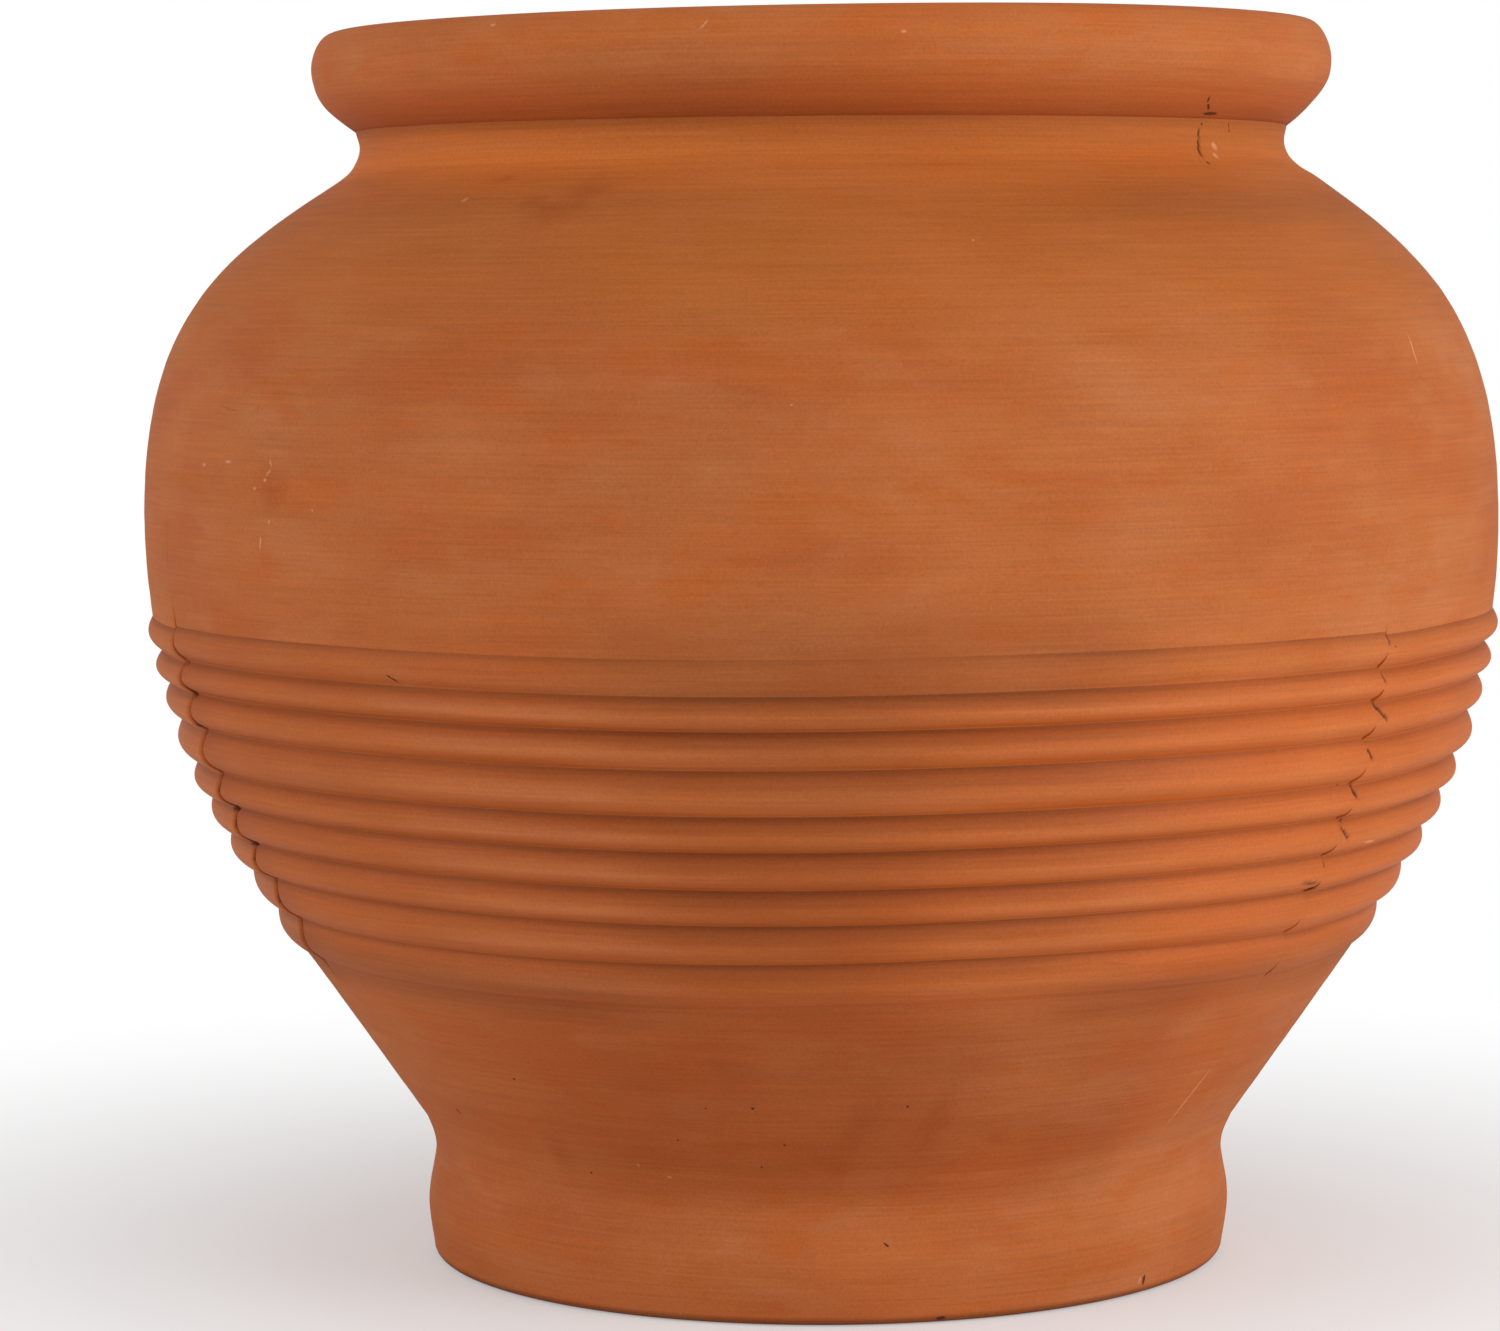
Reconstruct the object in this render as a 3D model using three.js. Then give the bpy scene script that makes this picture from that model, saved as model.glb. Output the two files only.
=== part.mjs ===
// A large unglazed terracotta belly jar for planting: a waisted foot, a straight cone, nine pressed
// beads on the lower belly, a full belly and shoulder, a short neck and a thick rolled rim.
//
// It is made as such jars are. Three slabs of clay are pressed into a three-part mould and become
// the wall, a round slab is the floor, coils are worked over the joints inside, and one fat coil
// is rolled over the neck for the rim. Each piece of clay is a solid of its own here, and SLIP is
// the thickness of the slip that joins it to the next.
//
// Millimetres, +Z up. The origin is the middle of the base, and the front faces -Y. Azimuths are
// in degrees from the front, rising towards +X.

import * as THREE from 'three';
import { mergeVertices } from 'three/addons/utils/BufferGeometryUtils.js';

// ---------------------------------------------------------------- driving dimensions

const WALL = 16;                  // thickness of the pressed wall
const SLIP = 0.3;                 // slip joint between two pieces of clay

// foot band and cone: radii, and the rise from each level to the next
const BASE_EDGE = 3;              // rounding of the bottom edge
const BULGE_RISE = 18.4;          // ground to the fullest ring of the foot band
const WAIST_RISE = 18;            // on to the waist
const CONE_FOOT_RISE = 11.5;      // on to where the cone starts
const CONE_RISE = 56.5;           // on to the first bead
const WAIST_RADIUS = 133.2;
const FOOT_BULGE = 2.3;           // the foot band stands out this far past the waist
const FOOT_HEEL = 0.4;            // and its bottom edge this far
const CONE_FLARE = 3.6;           // and the cone starts this far past it
const CONE_TOP_RADIUS = 176;
const CONE_SLOPE = 34;            // degrees from the vertical, where the belly leaves the cone

// belly and shoulder
const BELLY_RADIUS = 226;
const LOWER_BELLY_RISE = 143;     // cone to the widest ring
const UPPER_BELLY_RISE = 114.3;   // widest ring to the foot of the neck
const LOWER_CURVE = 55;           // how far the lower curve keeps its direction at each end
const UPPER_CURVE = 69.8;         // the same for the shoulder at the widest ring
const SHOULDER_RUN = 45.6;        // and at the foot of the neck
const SHOULDER_SLOPE = 56.4;      // degrees from the vertical

// neck and rolled rim
const NECK_RADIUS = 154;
const NECK_COVE = 6;              // the shoulder ends this far outside the neck
const NECK_RISE = 9.7;            // foot of the neck to its narrowest ring
const CREASE_RISE = 5;            // on to the crease under the rim
const CREASE_FLARE = 1;
const RIM_OVERHANG = 15.8;        // the roll's widest ring past the neck
const RIM_UNDERSIDE_RISE = 22.4;  // crease to the widest ring
const RIM_CROWN_RISE = 12.3;      // on to the top
const RIM_CROWN = 8;              // the top of the roll lies this far outside the neck
const LIP_FALL = 14.4;            // the lip turns down into the mouth this far below the top
const LIP_EASE = 0.5;             // and this far outside the neck's hollow side

// the nine beads from the lowest to the highest: width along the wall, and height of the arch
const BEAD_WIDTHS = [15.0, 16.0, 13.4, 13.4, 12.2, 15.2, 12.4, 11.0, 11.4];
const BEAD_HEIGHTS = [2.6, 3.1, 3.7, 3.8, 3.9, 4.2, 3.7, 3.8, 3.3];
const BEAD_START = 4;             // top of the cone to the lowest bead, along the wall
const NOTCH_DEPTH = 1.5;          // the notches between beads lie this far under the body's curve

// upright joints of the wall: the left piece stands a little proud, and the right one's beads sit low
const LEFT_SEAM_ANGLE = -67.4;
const RIGHT_SEAM_ANGLE = 50.8;
const BACK_SEAM_ANGLE = 171.7;
const SEAM_PROUD = 0.8;
const BEAD_DROP = 1.2;
const FADE_ANGLE = 24;            // degrees over which both die away from a joint

// floor and the coils inside
const FLOOR = 16;                 // thickness of the floor slab
const FLOOR_EDGE = 1.5;           // softened edges of the slab
const DRAIN_RADIUS = 12.5;
const FLOOR_COIL = 14;            // legs of the coil worked into the corner of wall and floor
const COIL_FEATHER = 1;           // thickness of that coil's thin edge on the floor
const SEAM_COIL_WIDTH = 26;
const SEAM_COIL_DEPTH = 6;

// fineness of the curves
const TURN_STEPS = 54;            // round a whole ring
const WALL_STEPS = TURN_STEPS / 3;
const BEAD_STEPS = 4;
const PLAIN_STEPS = 3;            // from the top bead to the widest ring
const COIL_STEPS = 7;             // over a coil's half-round back

// ---------------------------------------------------------------- levels that follow

const bulgeHeight = BULGE_RISE;
const waistHeight = bulgeHeight + WAIST_RISE;
const coneFootHeight = waistHeight + CONE_FOOT_RISE;
const coneTopHeight = coneFootHeight + CONE_RISE;
const bellyHeight = coneTopHeight + LOWER_BELLY_RISE;
const shoulderHeight = bellyHeight + UPPER_BELLY_RISE;
const neckHeight = shoulderHeight + NECK_RISE;
const creaseHeight = neckHeight + CREASE_RISE;
const rimHeight = creaseHeight + RIM_UNDERSIDE_RISE;
const topHeight = rimHeight + RIM_CROWN_RISE;

const footInside = WAIST_RADIUS - WALL;
const neckInside = NECK_RADIUS - WALL;

const radians = THREE.MathUtils.degToRad;
const at = (radius, height) => new THREE.Vector2(radius, height);

// a step in the outline's plane, leaning outwards from the vertical
const lean = (degrees, length) =>
  at(Math.sin(radians(degrees)), Math.cos(radians(degrees))).multiplyScalar(length);

// the flats of a many-sided ring lie this far inside its corners
const flatOf = (radius, degrees) => radius * (1 - Math.cos(radians(degrees) / 2));
const widestStep = 360 / TURN_STEPS + 0.2;

// ---------------------------------------------------------------- outline of the wall

const coneTop = at(CONE_TOP_RADIUS, coneTopHeight);
const belly = at(BELLY_RADIUS, bellyHeight);
const shoulder = at(NECK_RADIUS + NECK_COVE, shoulderHeight);
const neck = at(NECK_RADIUS, neckHeight);
const crease = at(NECK_RADIUS + CREASE_FLARE, creaseHeight);

const lowerBelly = new THREE.CubicBezierCurve(
  coneTop,
  coneTop.clone().add(lean(CONE_SLOPE, LOWER_CURVE)),
  belly.clone().sub(lean(0, LOWER_CURVE)),
  belly,
);

const upperBelly = new THREE.CubicBezierCurve(
  belly,
  belly.clone().add(lean(0, UPPER_CURVE)),
  shoulder.clone().sub(lean(-SHOULDER_SLOPE, SHOULDER_RUN)),
  shoulder,
);

// from the flat base round the bottom edge, over the foot band and in to the waist
function footOutline() {
  const radius = WAIST_RADIUS + FOOT_HEEL;
  const edge = new THREE.EllipseCurve(
    radius - BASE_EDGE, BASE_EDGE, BASE_EDGE, BASE_EDGE, -Math.PI / 2, 0);
  const band = new THREE.SplineCurve([
    at(radius, BASE_EDGE),
    at(WAIST_RADIUS + FOOT_BULGE, bulgeHeight),
    at(WAIST_RADIUS, waistHeight),
    at(WAIST_RADIUS + CONE_FLARE, coneFootHeight),
  ]);
  return [...edge.getPoints(2), ...band.getPoints(6).slice(1)];
}

// a point that lies under the lower belly's curve, at a length along it
function onBelly(length, depth) {
  const share = length / lowerBelly.getLength();
  const along = lowerBelly.getTangentAt(share);
  return lowerBelly.getPointAt(share).add(at(-along.y, along.x).multiplyScalar(depth));
}

// each bead is an arch on the chord between two notches, and a piece that sits low by a drop has
// its notches that much further down the curve
function beadOutline(drop) {
  const points = [onBelly(0, 0)];
  let end = BEAD_START - drop;
  let from = onBelly(end, 0);
  BEAD_HEIGHTS.forEach((height, bead) => {
    end += BEAD_WIDTHS[bead];
    const to = onBelly(end, bead + 1 < BEAD_HEIGHTS.length ? NOTCH_DEPTH : 0);
    const chord = to.clone().sub(from);
    const out = at(chord.y, -chord.x).normalize();
    for (let i = 0; i < BEAD_STEPS; i++) {
      const s = i / BEAD_STEPS;
      points.push(from.clone().addScaledVector(chord, s).addScaledVector(out, 4 * height * s * (1 - s)));
    }
    from = to;
  });
  const plain = lowerBelly.getLength() - end;
  for (let i = 0; i < PLAIN_STEPS; i++) {
    points.push(onBelly(end + plain * i / PLAIN_STEPS, 0));
  }
  return points;
}

// the cove of the neck, in from the shoulder and out again to the crease under the rim
function neckOutline() {
  const cove = new THREE.CubicBezierCurve(
    shoulder,
    shoulder.clone().add(lean(-SHOULDER_SLOPE, NECK_COVE * 0.6)),
    neck.clone().sub(lean(0, NECK_RISE * 0.4)),
    neck,
  );
  const flare = new THREE.QuadraticBezierCurve(neck, neck.clone().lerp(crease, 0.5).setX(neck.x), crease);
  return [...cove.getPoints(3).slice(1), ...flare.getPoints(2).slice(1)];
}

// a curve of the body moved inwards by the thickness of the wall
function inside(curve, steps) {
  return Array.from({ length: steps + 1 }, (_, i) => {
    const point = curve.getPoint(i / steps);
    const along = curve.getTangent(i / steps);
    return point.add(at(-along.y, along.x).multiplyScalar(WALL));
  });
}

// the hollow side of the wall, from the floor up to the mouth
function insideOutline() {
  const cone = new THREE.LineCurve(at(WAIST_RADIUS + CONE_FLARE, coneFootHeight), coneTop);
  const coneSide = inside(cone, 1);
  const slope = coneSide[1].clone().sub(coneSide[0]);
  const corner = coneSide[0].clone().addScaledVector(slope, (footInside - coneSide[0].x) / slope.x);
  const shoulderSide = inside(upperBelly, 8).slice(1);
  const last = shoulderSide.at(-1);
  const rise = (last.x - neckInside) / Math.tan(radians(SHOULDER_SLOPE));
  return [
    corner,
    coneSide[1],
    ...inside(lowerBelly, 5).slice(1),
    ...shoulderSide,
    at(neckInside, last.y + rise),
  ];
}

const hollowSide = insideOutline();

const skinSide = (drop) => [
  ...footOutline(),
  ...beadOutline(drop),
  ...upperBelly.getPoints(9),
  ...neckOutline(),
];

// ---------------------------------------------------------------- solids

// a place in the outline's plane, turned to its azimuth
function turned(point, azimuth, sideways = 0) {
  const angle = radians(azimuth);
  return new THREE.Vector3(
    point.x * Math.sin(angle) + sideways * Math.cos(angle),
    -point.x * Math.cos(angle) + sideways * Math.sin(angle),
    point.y,
  );
}

// a closed solid through equal sections, capped with its first and last one
function loft(sections, outline) {
  const count = outline.length;
  const index = [];
  for (let i = 0; i + 1 < sections.length; i++) {
    for (let j = 0; j < count; j++) {
      const a = i * count + j;
      const b = i * count + (j + 1) % count;
      index.push(a, a + count, b, b, a + count, b + count);
    }
  }
  const end = (sections.length - 1) * count;
  for (const [a, b, c] of THREE.ShapeUtils.triangulateShape(outline, [])) {
    index.push(a, b, c, end + a, end + c, end + b);
  }
  const geometry = new THREE.BufferGeometry().setFromPoints(sections.flat());
  geometry.setIndex(index);
  geometry.computeVertexNormals();
  return geometry;
}

// a closed ring turned from an outline that runs counter-clockwise
function ring(outline) {
  const geometry = new THREE.LatheGeometry([...outline, outline[0]], TURN_STEPS);
  geometry.rotateX(Math.PI / 2);
  geometry.deleteAttribute('uv');
  geometry.deleteAttribute('normal');
  const merged = mergeVertices(geometry);
  merged.computeVertexNormals();
  return merged;
}

// one pressed third of the wall, from one joint to the next: it stands proud by so much at both
// joints, and its beads sit low at the first one
function wallPiece(fromSeam, toSeam, proud, drop) {
  const trim = THREE.MathUtils.radToDeg(SLIP / 2 / NECK_RADIUS);
  const first = fromSeam + trim;
  const last = toSeam - trim;
  const hollow = [at(neckInside, creaseHeight), ...hollowSide.toReversed(), at(footInside, 0)];
  const fade = (angle) => Math.max(0, 1 - angle / FADE_ANGLE) ** 2;
  const sections = [];
  for (let i = 0; i <= WALL_STEPS; i++) {
    const azimuth = first + (last - first) * i / WALL_STEPS;
    const out = at(proud * fade(Math.min(azimuth - first, last - azimuth)), 0);
    const skin = skinSide(drop * fade(azimuth - first)).map((point) => point.add(out));
    sections.push([...skin, ...hollow].map((point) => turned(point, azimuth)));
  }
  return loft(sections, [...skinSide(0), ...hollow]);
}

// the rim: one fat coil standing on the neck, rolled out over it, with a softly rounded mouth
function rimRoll() {
  const widest = at(NECK_RADIUS + RIM_OVERHANG, rimHeight);
  const top = at(NECK_RADIUS + RIM_CROWN, topHeight);
  const mouth = at(neckInside + LIP_EASE, topHeight - LIP_FALL);
  const underside = new THREE.CubicBezierCurve(
    crease,
    crease.clone().add(lean(54, RIM_UNDERSIDE_RISE * 0.6)),
    widest.clone().sub(lean(0, RIM_UNDERSIDE_RISE * 0.39)),
    widest,
  );
  const crown = new THREE.CubicBezierCurve(
    widest,
    widest.clone().add(lean(0, RIM_CROWN_RISE * 0.36)),
    top.clone().add(lean(90, (widest.x - top.x) * 0.66)),
    top,
  );
  const lip = new THREE.CubicBezierCurve(
    top,
    top.clone().add(lean(-90, (top.x - mouth.x) * 0.55)),
    mouth.clone().add(lean(0, RIM_CROWN_RISE * 0.7)),
    mouth,
  );
  return ring([
    at(neckInside, creaseHeight),
    ...underside.getPoints(6),
    ...crown.getPoints(4).slice(1),
    ...lip.getPoints(5).slice(1),
  ]);
}

// the floor: a round slab inside the foot, with its drainage hole
function floorSlab() {
  const radius = footInside - flatOf(footInside, widestStep) - SLIP;
  return ring([
    at(DRAIN_RADIUS, FLOOR_EDGE),
    at(DRAIN_RADIUS + FLOOR_EDGE, 0),
    at(radius, 0),
    at(radius, FLOOR),
    at(DRAIN_RADIUS + FLOOR_EDGE, FLOOR),
    at(DRAIN_RADIUS, FLOOR - FLOOR_EDGE),
  ]);
}

// the coil worked into the corner between floor and wall, with a hollowed face
function floorCoil() {
  const radius = footInside - flatOf(footInside, widestStep) - SLIP;
  const face = new THREE.QuadraticBezierCurve(
    at(radius, FLOOR + FLOOR_COIL),
    at(radius - FLOOR_COIL * 0.35, FLOOR + FLOOR_COIL * 0.35),
    at(radius - FLOOR_COIL, FLOOR + COIL_FEATHER),
  );
  return ring([at(radius - FLOOR_COIL, FLOOR), at(radius, FLOOR), ...face.getPoints(4)]);
}

// a coil smeared over the inside of an upright joint: a half-round section that follows the wall
function seamCoil(azimuth) {
  const half = SEAM_COIL_WIDTH / 2;
  const back = half * Math.tan(radians(widestStep) / 2) + SLIP;
  const arc = Array.from({ length: COIL_STEPS + 1 }, (_, i) => {
    const angle = Math.PI * i / COIL_STEPS;
    return at(half * Math.cos(angle), back + SEAM_COIL_DEPTH * Math.sin(angle));
  });
  const section = [at(0, SLIP), ...arc];

  const foot = at(footInside, FLOOR + FLOOR_COIL + 2 * SLIP);
  const route = [foot, ...hollowSide];
  const sections = route.map((place, i) => {
    const before = route[Math.max(i - 1, 0)];
    const after = route[Math.min(i + 1, route.length - 1)];
    const along = after.clone().sub(before).normalize();
    const inwards = i === 0 ? at(-1, 0) : at(-along.y, along.x);
    return section.map(({ x, y }) => turned(place.clone().addScaledVector(inwards, y), azimuth, x));
  });
  return loft(sections.reverse(), section);
}

// ---------------------------------------------------------------- the jar

const jar = new THREE.Group();

function add(name, geometry, color, roughness = 0.88) {
  const material = new THREE.MeshStandardMaterial({ color, roughness, metalness: 0 });
  material.name = name;
  const mesh = new THREE.Mesh(geometry, material);
  mesh.name = name;
  jar.add(mesh);
}

add('floor_slab', floorSlab(), 0xa95c33);
add('wall_front', wallPiece(LEFT_SEAM_ANGLE, RIGHT_SEAM_ANGLE, 0, 0), 0xb16238);
add('wall_right', wallPiece(RIGHT_SEAM_ANGLE, BACK_SEAM_ANGLE, 0, BEAD_DROP), 0xb96a3d);
add('wall_left', wallPiece(BACK_SEAM_ANGLE, LEFT_SEAM_ANGLE + 360, SEAM_PROUD, 0), 0xab6036);
add('rim_roll', rimRoll(), 0xb36539);
add('floor_coil', floorCoil(), 0xa65a33, 0.92);
add('seam_coil_left', seamCoil(LEFT_SEAM_ANGLE), 0xa65a33, 0.92);
add('seam_coil_right', seamCoil(RIGHT_SEAM_ANGLE), 0xa65a33, 0.92);
add('seam_coil_back', seamCoil(BACK_SEAM_ANGLE), 0xa65a33, 0.92);

export default jar;
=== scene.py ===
# %% [markdown]
# # A pressed terracotta belly jar
#
# This lesson dresses a large unglazed planting jar. The jar is made as such jars are: three slabs
# of clay pressed into a three-part mould and joined with slip, a rim rolled from one fat coil, a
# round floor, and coils smeared over the joints inside. Its beauty is in what the hand leaves
# behind: beads that don't quite meet at the joints, a rim that isn't quite level, sponge lines
# round the belly.
#
# Everything is in metres, +Z up, with the jar standing on z = 0 and its front facing -Y. Azimuths
# are in degrees from the front, rising towards +X, which is the viewer's right.

# %% Load the frame
import math

import bpy
import numpy as np
from mathutils import Matrix, Vector


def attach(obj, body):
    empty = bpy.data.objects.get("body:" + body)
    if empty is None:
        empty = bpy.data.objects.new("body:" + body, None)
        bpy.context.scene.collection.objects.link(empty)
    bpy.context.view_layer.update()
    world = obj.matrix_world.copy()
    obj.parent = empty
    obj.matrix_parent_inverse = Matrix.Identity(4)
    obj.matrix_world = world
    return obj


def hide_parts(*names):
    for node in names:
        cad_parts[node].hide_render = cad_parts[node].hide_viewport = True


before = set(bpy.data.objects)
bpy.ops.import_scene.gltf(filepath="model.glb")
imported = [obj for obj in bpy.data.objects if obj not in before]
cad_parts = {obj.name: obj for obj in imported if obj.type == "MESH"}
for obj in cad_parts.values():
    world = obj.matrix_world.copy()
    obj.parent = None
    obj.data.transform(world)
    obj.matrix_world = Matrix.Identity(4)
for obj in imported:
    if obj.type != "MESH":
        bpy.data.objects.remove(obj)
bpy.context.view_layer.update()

MM = 0.001

# %% [markdown]
# ## Camera
#
# The jar was taken from a little over one and a half metres, with the lens just below the rim, so
# the rim's far side stays hidden and the foot shows as a shallow ellipse. A camera can be placed
# by eye or worked out. Here the distance comes from how far the rings of the jar bow in the
# picture, and the tilt from where its axis leans.

# %% Camera
CAMERA_DISTANCE = 1609.5 * MM         # from the jar's axis
CAMERA_HEIGHT = 330.2 * MM            # above the ground
CAMERA_SIDE = 1.1 * MM                # to the right of the axis
CAMERA_PITCH = math.radians(4.734)    # looking down
CAMERA_YAW = math.radians(0.892)      # looking a little to the left of the axis
CAMERA_ROLL = math.radians(0.41)      # held a little clockwise
CAMERA_LENS = 114.8                   # mm, on a 36 mm sensor

lens = bpy.data.cameras.new("camera")
lens.lens = CAMERA_LENS
lens.sensor_width = 36
camera = bpy.data.objects.new("camera", lens)
bpy.context.collection.objects.link(camera)
camera.matrix_world = (
    Matrix.Translation((CAMERA_SIDE, -CAMERA_DISTANCE, CAMERA_HEIGHT))
    @ Matrix.Rotation(CAMERA_YAW, 4, "Z")
    @ Matrix.Rotation(math.pi / 2 - CAMERA_PITCH, 4, "X")
    @ Matrix.Rotation(-CAMERA_ROLL, 4, "Z")
)
bpy.context.scene.camera = camera
print("camera at", [round(value, 4) for value in camera.location])

# %% [markdown]
# ## Outline of the wall
#
# Everything on the jar is turned round one axis, so its shape starts as an outline: radius against
# height. A lathe operator could spin one, but the beads and joints here change as they go round,
# so the outline is worked out again for every azimuth. The belly is two cubic curves that meet
# upright at the widest ring, the cone is straight, and the foot band is a smooth curve through
# four points.

# %% Sizes of the wall
WALL = 16 * MM
WAIST_RADIUS = 133.2 * MM
FOOT_BULGE = 2.3 * MM
CONE_FLARE = 3.6 * MM
FOOT_HEEL = 0.4 * MM               # the bottom edge lies this far outside the waist
BASE_EDGE = 3 * MM
BULGE_HEIGHT = 18.4 * MM
WAIST_HEIGHT = 36.4 * MM
CONE_FOOT_HEIGHT = 47.9 * MM
CONE_TOP = np.array([176, 104.4]) * MM
CONE_SLOPE = math.radians(34)
BELLY = np.array([226, 247.4]) * MM
SHOULDER = np.array([160, 361.7]) * MM
SHOULDER_SLOPE = math.radians(56.4)
LOWER_CURVE = 55 * MM
UPPER_CURVE = 69.8 * MM
SHOULDER_RUN = 45.6 * MM
NECK = np.array([154, 371.4]) * MM
CREASE = np.array([155, 376.4]) * MM
UP = np.array([0.0, 1.0])


def lean(angle):
    """A unit step that leans outwards from the vertical: (sin angle, cos angle)."""
    return np.array([math.sin(angle), math.cos(angle)])


def bezier(p0, p1, p2, p3, steps):
    """Cubic Bezier curve: p0 (1-t)^3 + 3 p1 (1-t)^2 t + 3 p2 (1-t) t^2 + p3 t^3, t from 0 to 1."""
    t = np.linspace(0, 1, steps + 1)[:, None]
    return p0 * (1 - t) ** 3 + 3 * p1 * (1 - t) ** 2 * t + 3 * p2 * (1 - t) * t ** 2 + p3 * t ** 3


def smooth_through(points, steps):
    """Catmull-Rom curve: a cubic between points, whose slopes are half the step across each."""
    points = np.asarray(points, float)
    padded = np.vstack([points[0], points, points[-1]])
    t = np.linspace(0, 1, steps, endpoint=False)[:, None]
    stretches = []
    for before, a, b, after in zip(padded, padded[1:], padded[2:], padded[3:]):
        slope_a, slope_b = (b - before) / 2, (after - a) / 2
        stretches.append(
            a + slope_a * t + (3 * (b - a) - 2 * slope_a - slope_b) * t ** 2
            + (2 * (a - b) + slope_a + slope_b) * t ** 3)
    return np.vstack(stretches + [points[-1:]])


lower_belly = bezier(
    CONE_TOP, CONE_TOP + LOWER_CURVE * lean(CONE_SLOPE), BELLY - LOWER_CURVE * UP, BELLY, 400)
upper_belly = bezier(
    BELLY, BELLY + UPPER_CURVE * UP, SHOULDER - SHOULDER_RUN * lean(-SHOULDER_SLOPE), SHOULDER, 56)


def length_along(curve):
    """The length from a curve's start to each of its points."""
    return np.concatenate([[0], np.cumsum(np.linalg.norm(np.diff(curve, axis=0), axis=1))])


lower_length = length_along(lower_belly)
print("the lower belly is", round(lower_length[-1] / MM, 1), "mm long along the wall")

# %% [markdown]
# ## Beads
#
# The nine beads were cut into the mould by hand, so no two are alike. Each one is an arch on the
# chord between two notches of the belly's curve. Two plain arches would meet in a crease as sharp
# as a knife cut. Soft clay that a sponge ran over has small fillets there, so the arch starts
# level and rises over the first millimetre.
#
# Three things change on the way round. The top bead is nearly rubbed away in front, where the
# sponge passed most. The notches rise and fall by a millimetre or two. And at the joints the three
# pieces don't quite meet: the left piece stands proud of the front one, and the right one sits
# lower.

# %% Beads
# from the lowest to the highest: width along the wall and height of the arch
BEADS = np.array([
    (15.0, 2.6),
    (16.0, 3.1),
    (13.4, 3.7),
    (13.4, 3.8),
    (12.2, 3.9),
    (15.2, 4.2),
    (12.4, 3.7),
    (11.0, 3.8),
    (11.4, 3.3),
]) * MM
BEAD_START = 4 * MM               # top of the cone to the lowest notch, along the wall
NOTCH_DEPTH = 1.5 * MM            # a notch between two beads lies this far under the belly's curve
NOTCH_FILLET = 0.25               # share of an arch over which it starts level
NOTCH_WANDER = 0.12 * MM
NOTCH_REACH = 1.5                 # mm from a notch over which shade is painted
BEAD_WANDER = 0.05                # share of its height by which a bead varies
DEEP_BEAD = 2 * MM                # a bead this tall or taller has a full notch beside it
BEAD_STEPS, PLAIN_STEPS = 22, 12  # rows over one bead, and over the plain belly above them
TOP_BEAD_LEFT = 0.12              # share of the top bead's height that is left in front
RUBBED_WIDTH = 40                 # degrees each way over which it was rubbed
FRONT_RISE = 0.6 * MM             # the notches ride up a little across the front
FRONT_SAG = 1.3 * MM              # but sag where the slab was pressed hardest
SAG_PLACE, SAG_WIDTH = -12, 28    # degrees
LOW_RISE = np.array([2.6, 2.0, 0.7]) * MM
LOW_PLACE, LOW_WIDTH = 22, 24     # the lowest three notches climb here, in degrees
LOW_BASE = np.array([1.3, -0.2]) * MM

LEFT_SEAM = -67.4
RIGHT_SEAM = 50.8
BACK_SEAM = 171.7
SEAM_STEP = 0.9 * MM              # the left piece stands this far proud at its joints
SEAM_FADE = 22                    # degrees over which the step dies away
RIGHT_DROP = 0.9 * MM             # the right piece's beads sit this much lower at its front joint
LEFT_DROP = 0.6 * MM


def waves(azimuth, seed, count=5, lowest=1):
    """A smooth random curve round the jar, about -1 to 1: a sum of sines of whole waves."""
    random = np.random.default_rng(seed)
    angle = np.radians(azimuth)
    total = np.zeros_like(angle)
    for k in range(lowest, lowest + count):
        height = random.normal() / math.sqrt(count)
        total = total + height * np.sin(k * angle + random.uniform(0, 2 * np.pi))
    return total


def ease(value):
    """Smooth step from 0 to 1: 3 v^2 - 2 v^3, with v held between 0 and 1."""
    value = np.clip(value, 0, 1)
    return value * value * (3 - 2 * value)


def hump(azimuth, place, width):
    """A smooth bump of height 1 round an azimuth: exp(-((azimuth - place) / width)^2)."""
    away = (azimuth - place + 180) % 360 - 180
    return np.exp(-(away / width) ** 2)


def on_belly(length, depth):
    """A point at a length along the lower belly, moved inwards by a depth along the normal."""
    def at_length(values):
        return np.interp(length, lower_length, values)

    r, z = lower_belly.T
    slope_r, slope_z = np.gradient(r, lower_length), np.gradient(z, lower_length)
    return at_length(r) - depth * at_length(slope_z), at_length(z) + depth * at_length(slope_r)


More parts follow.
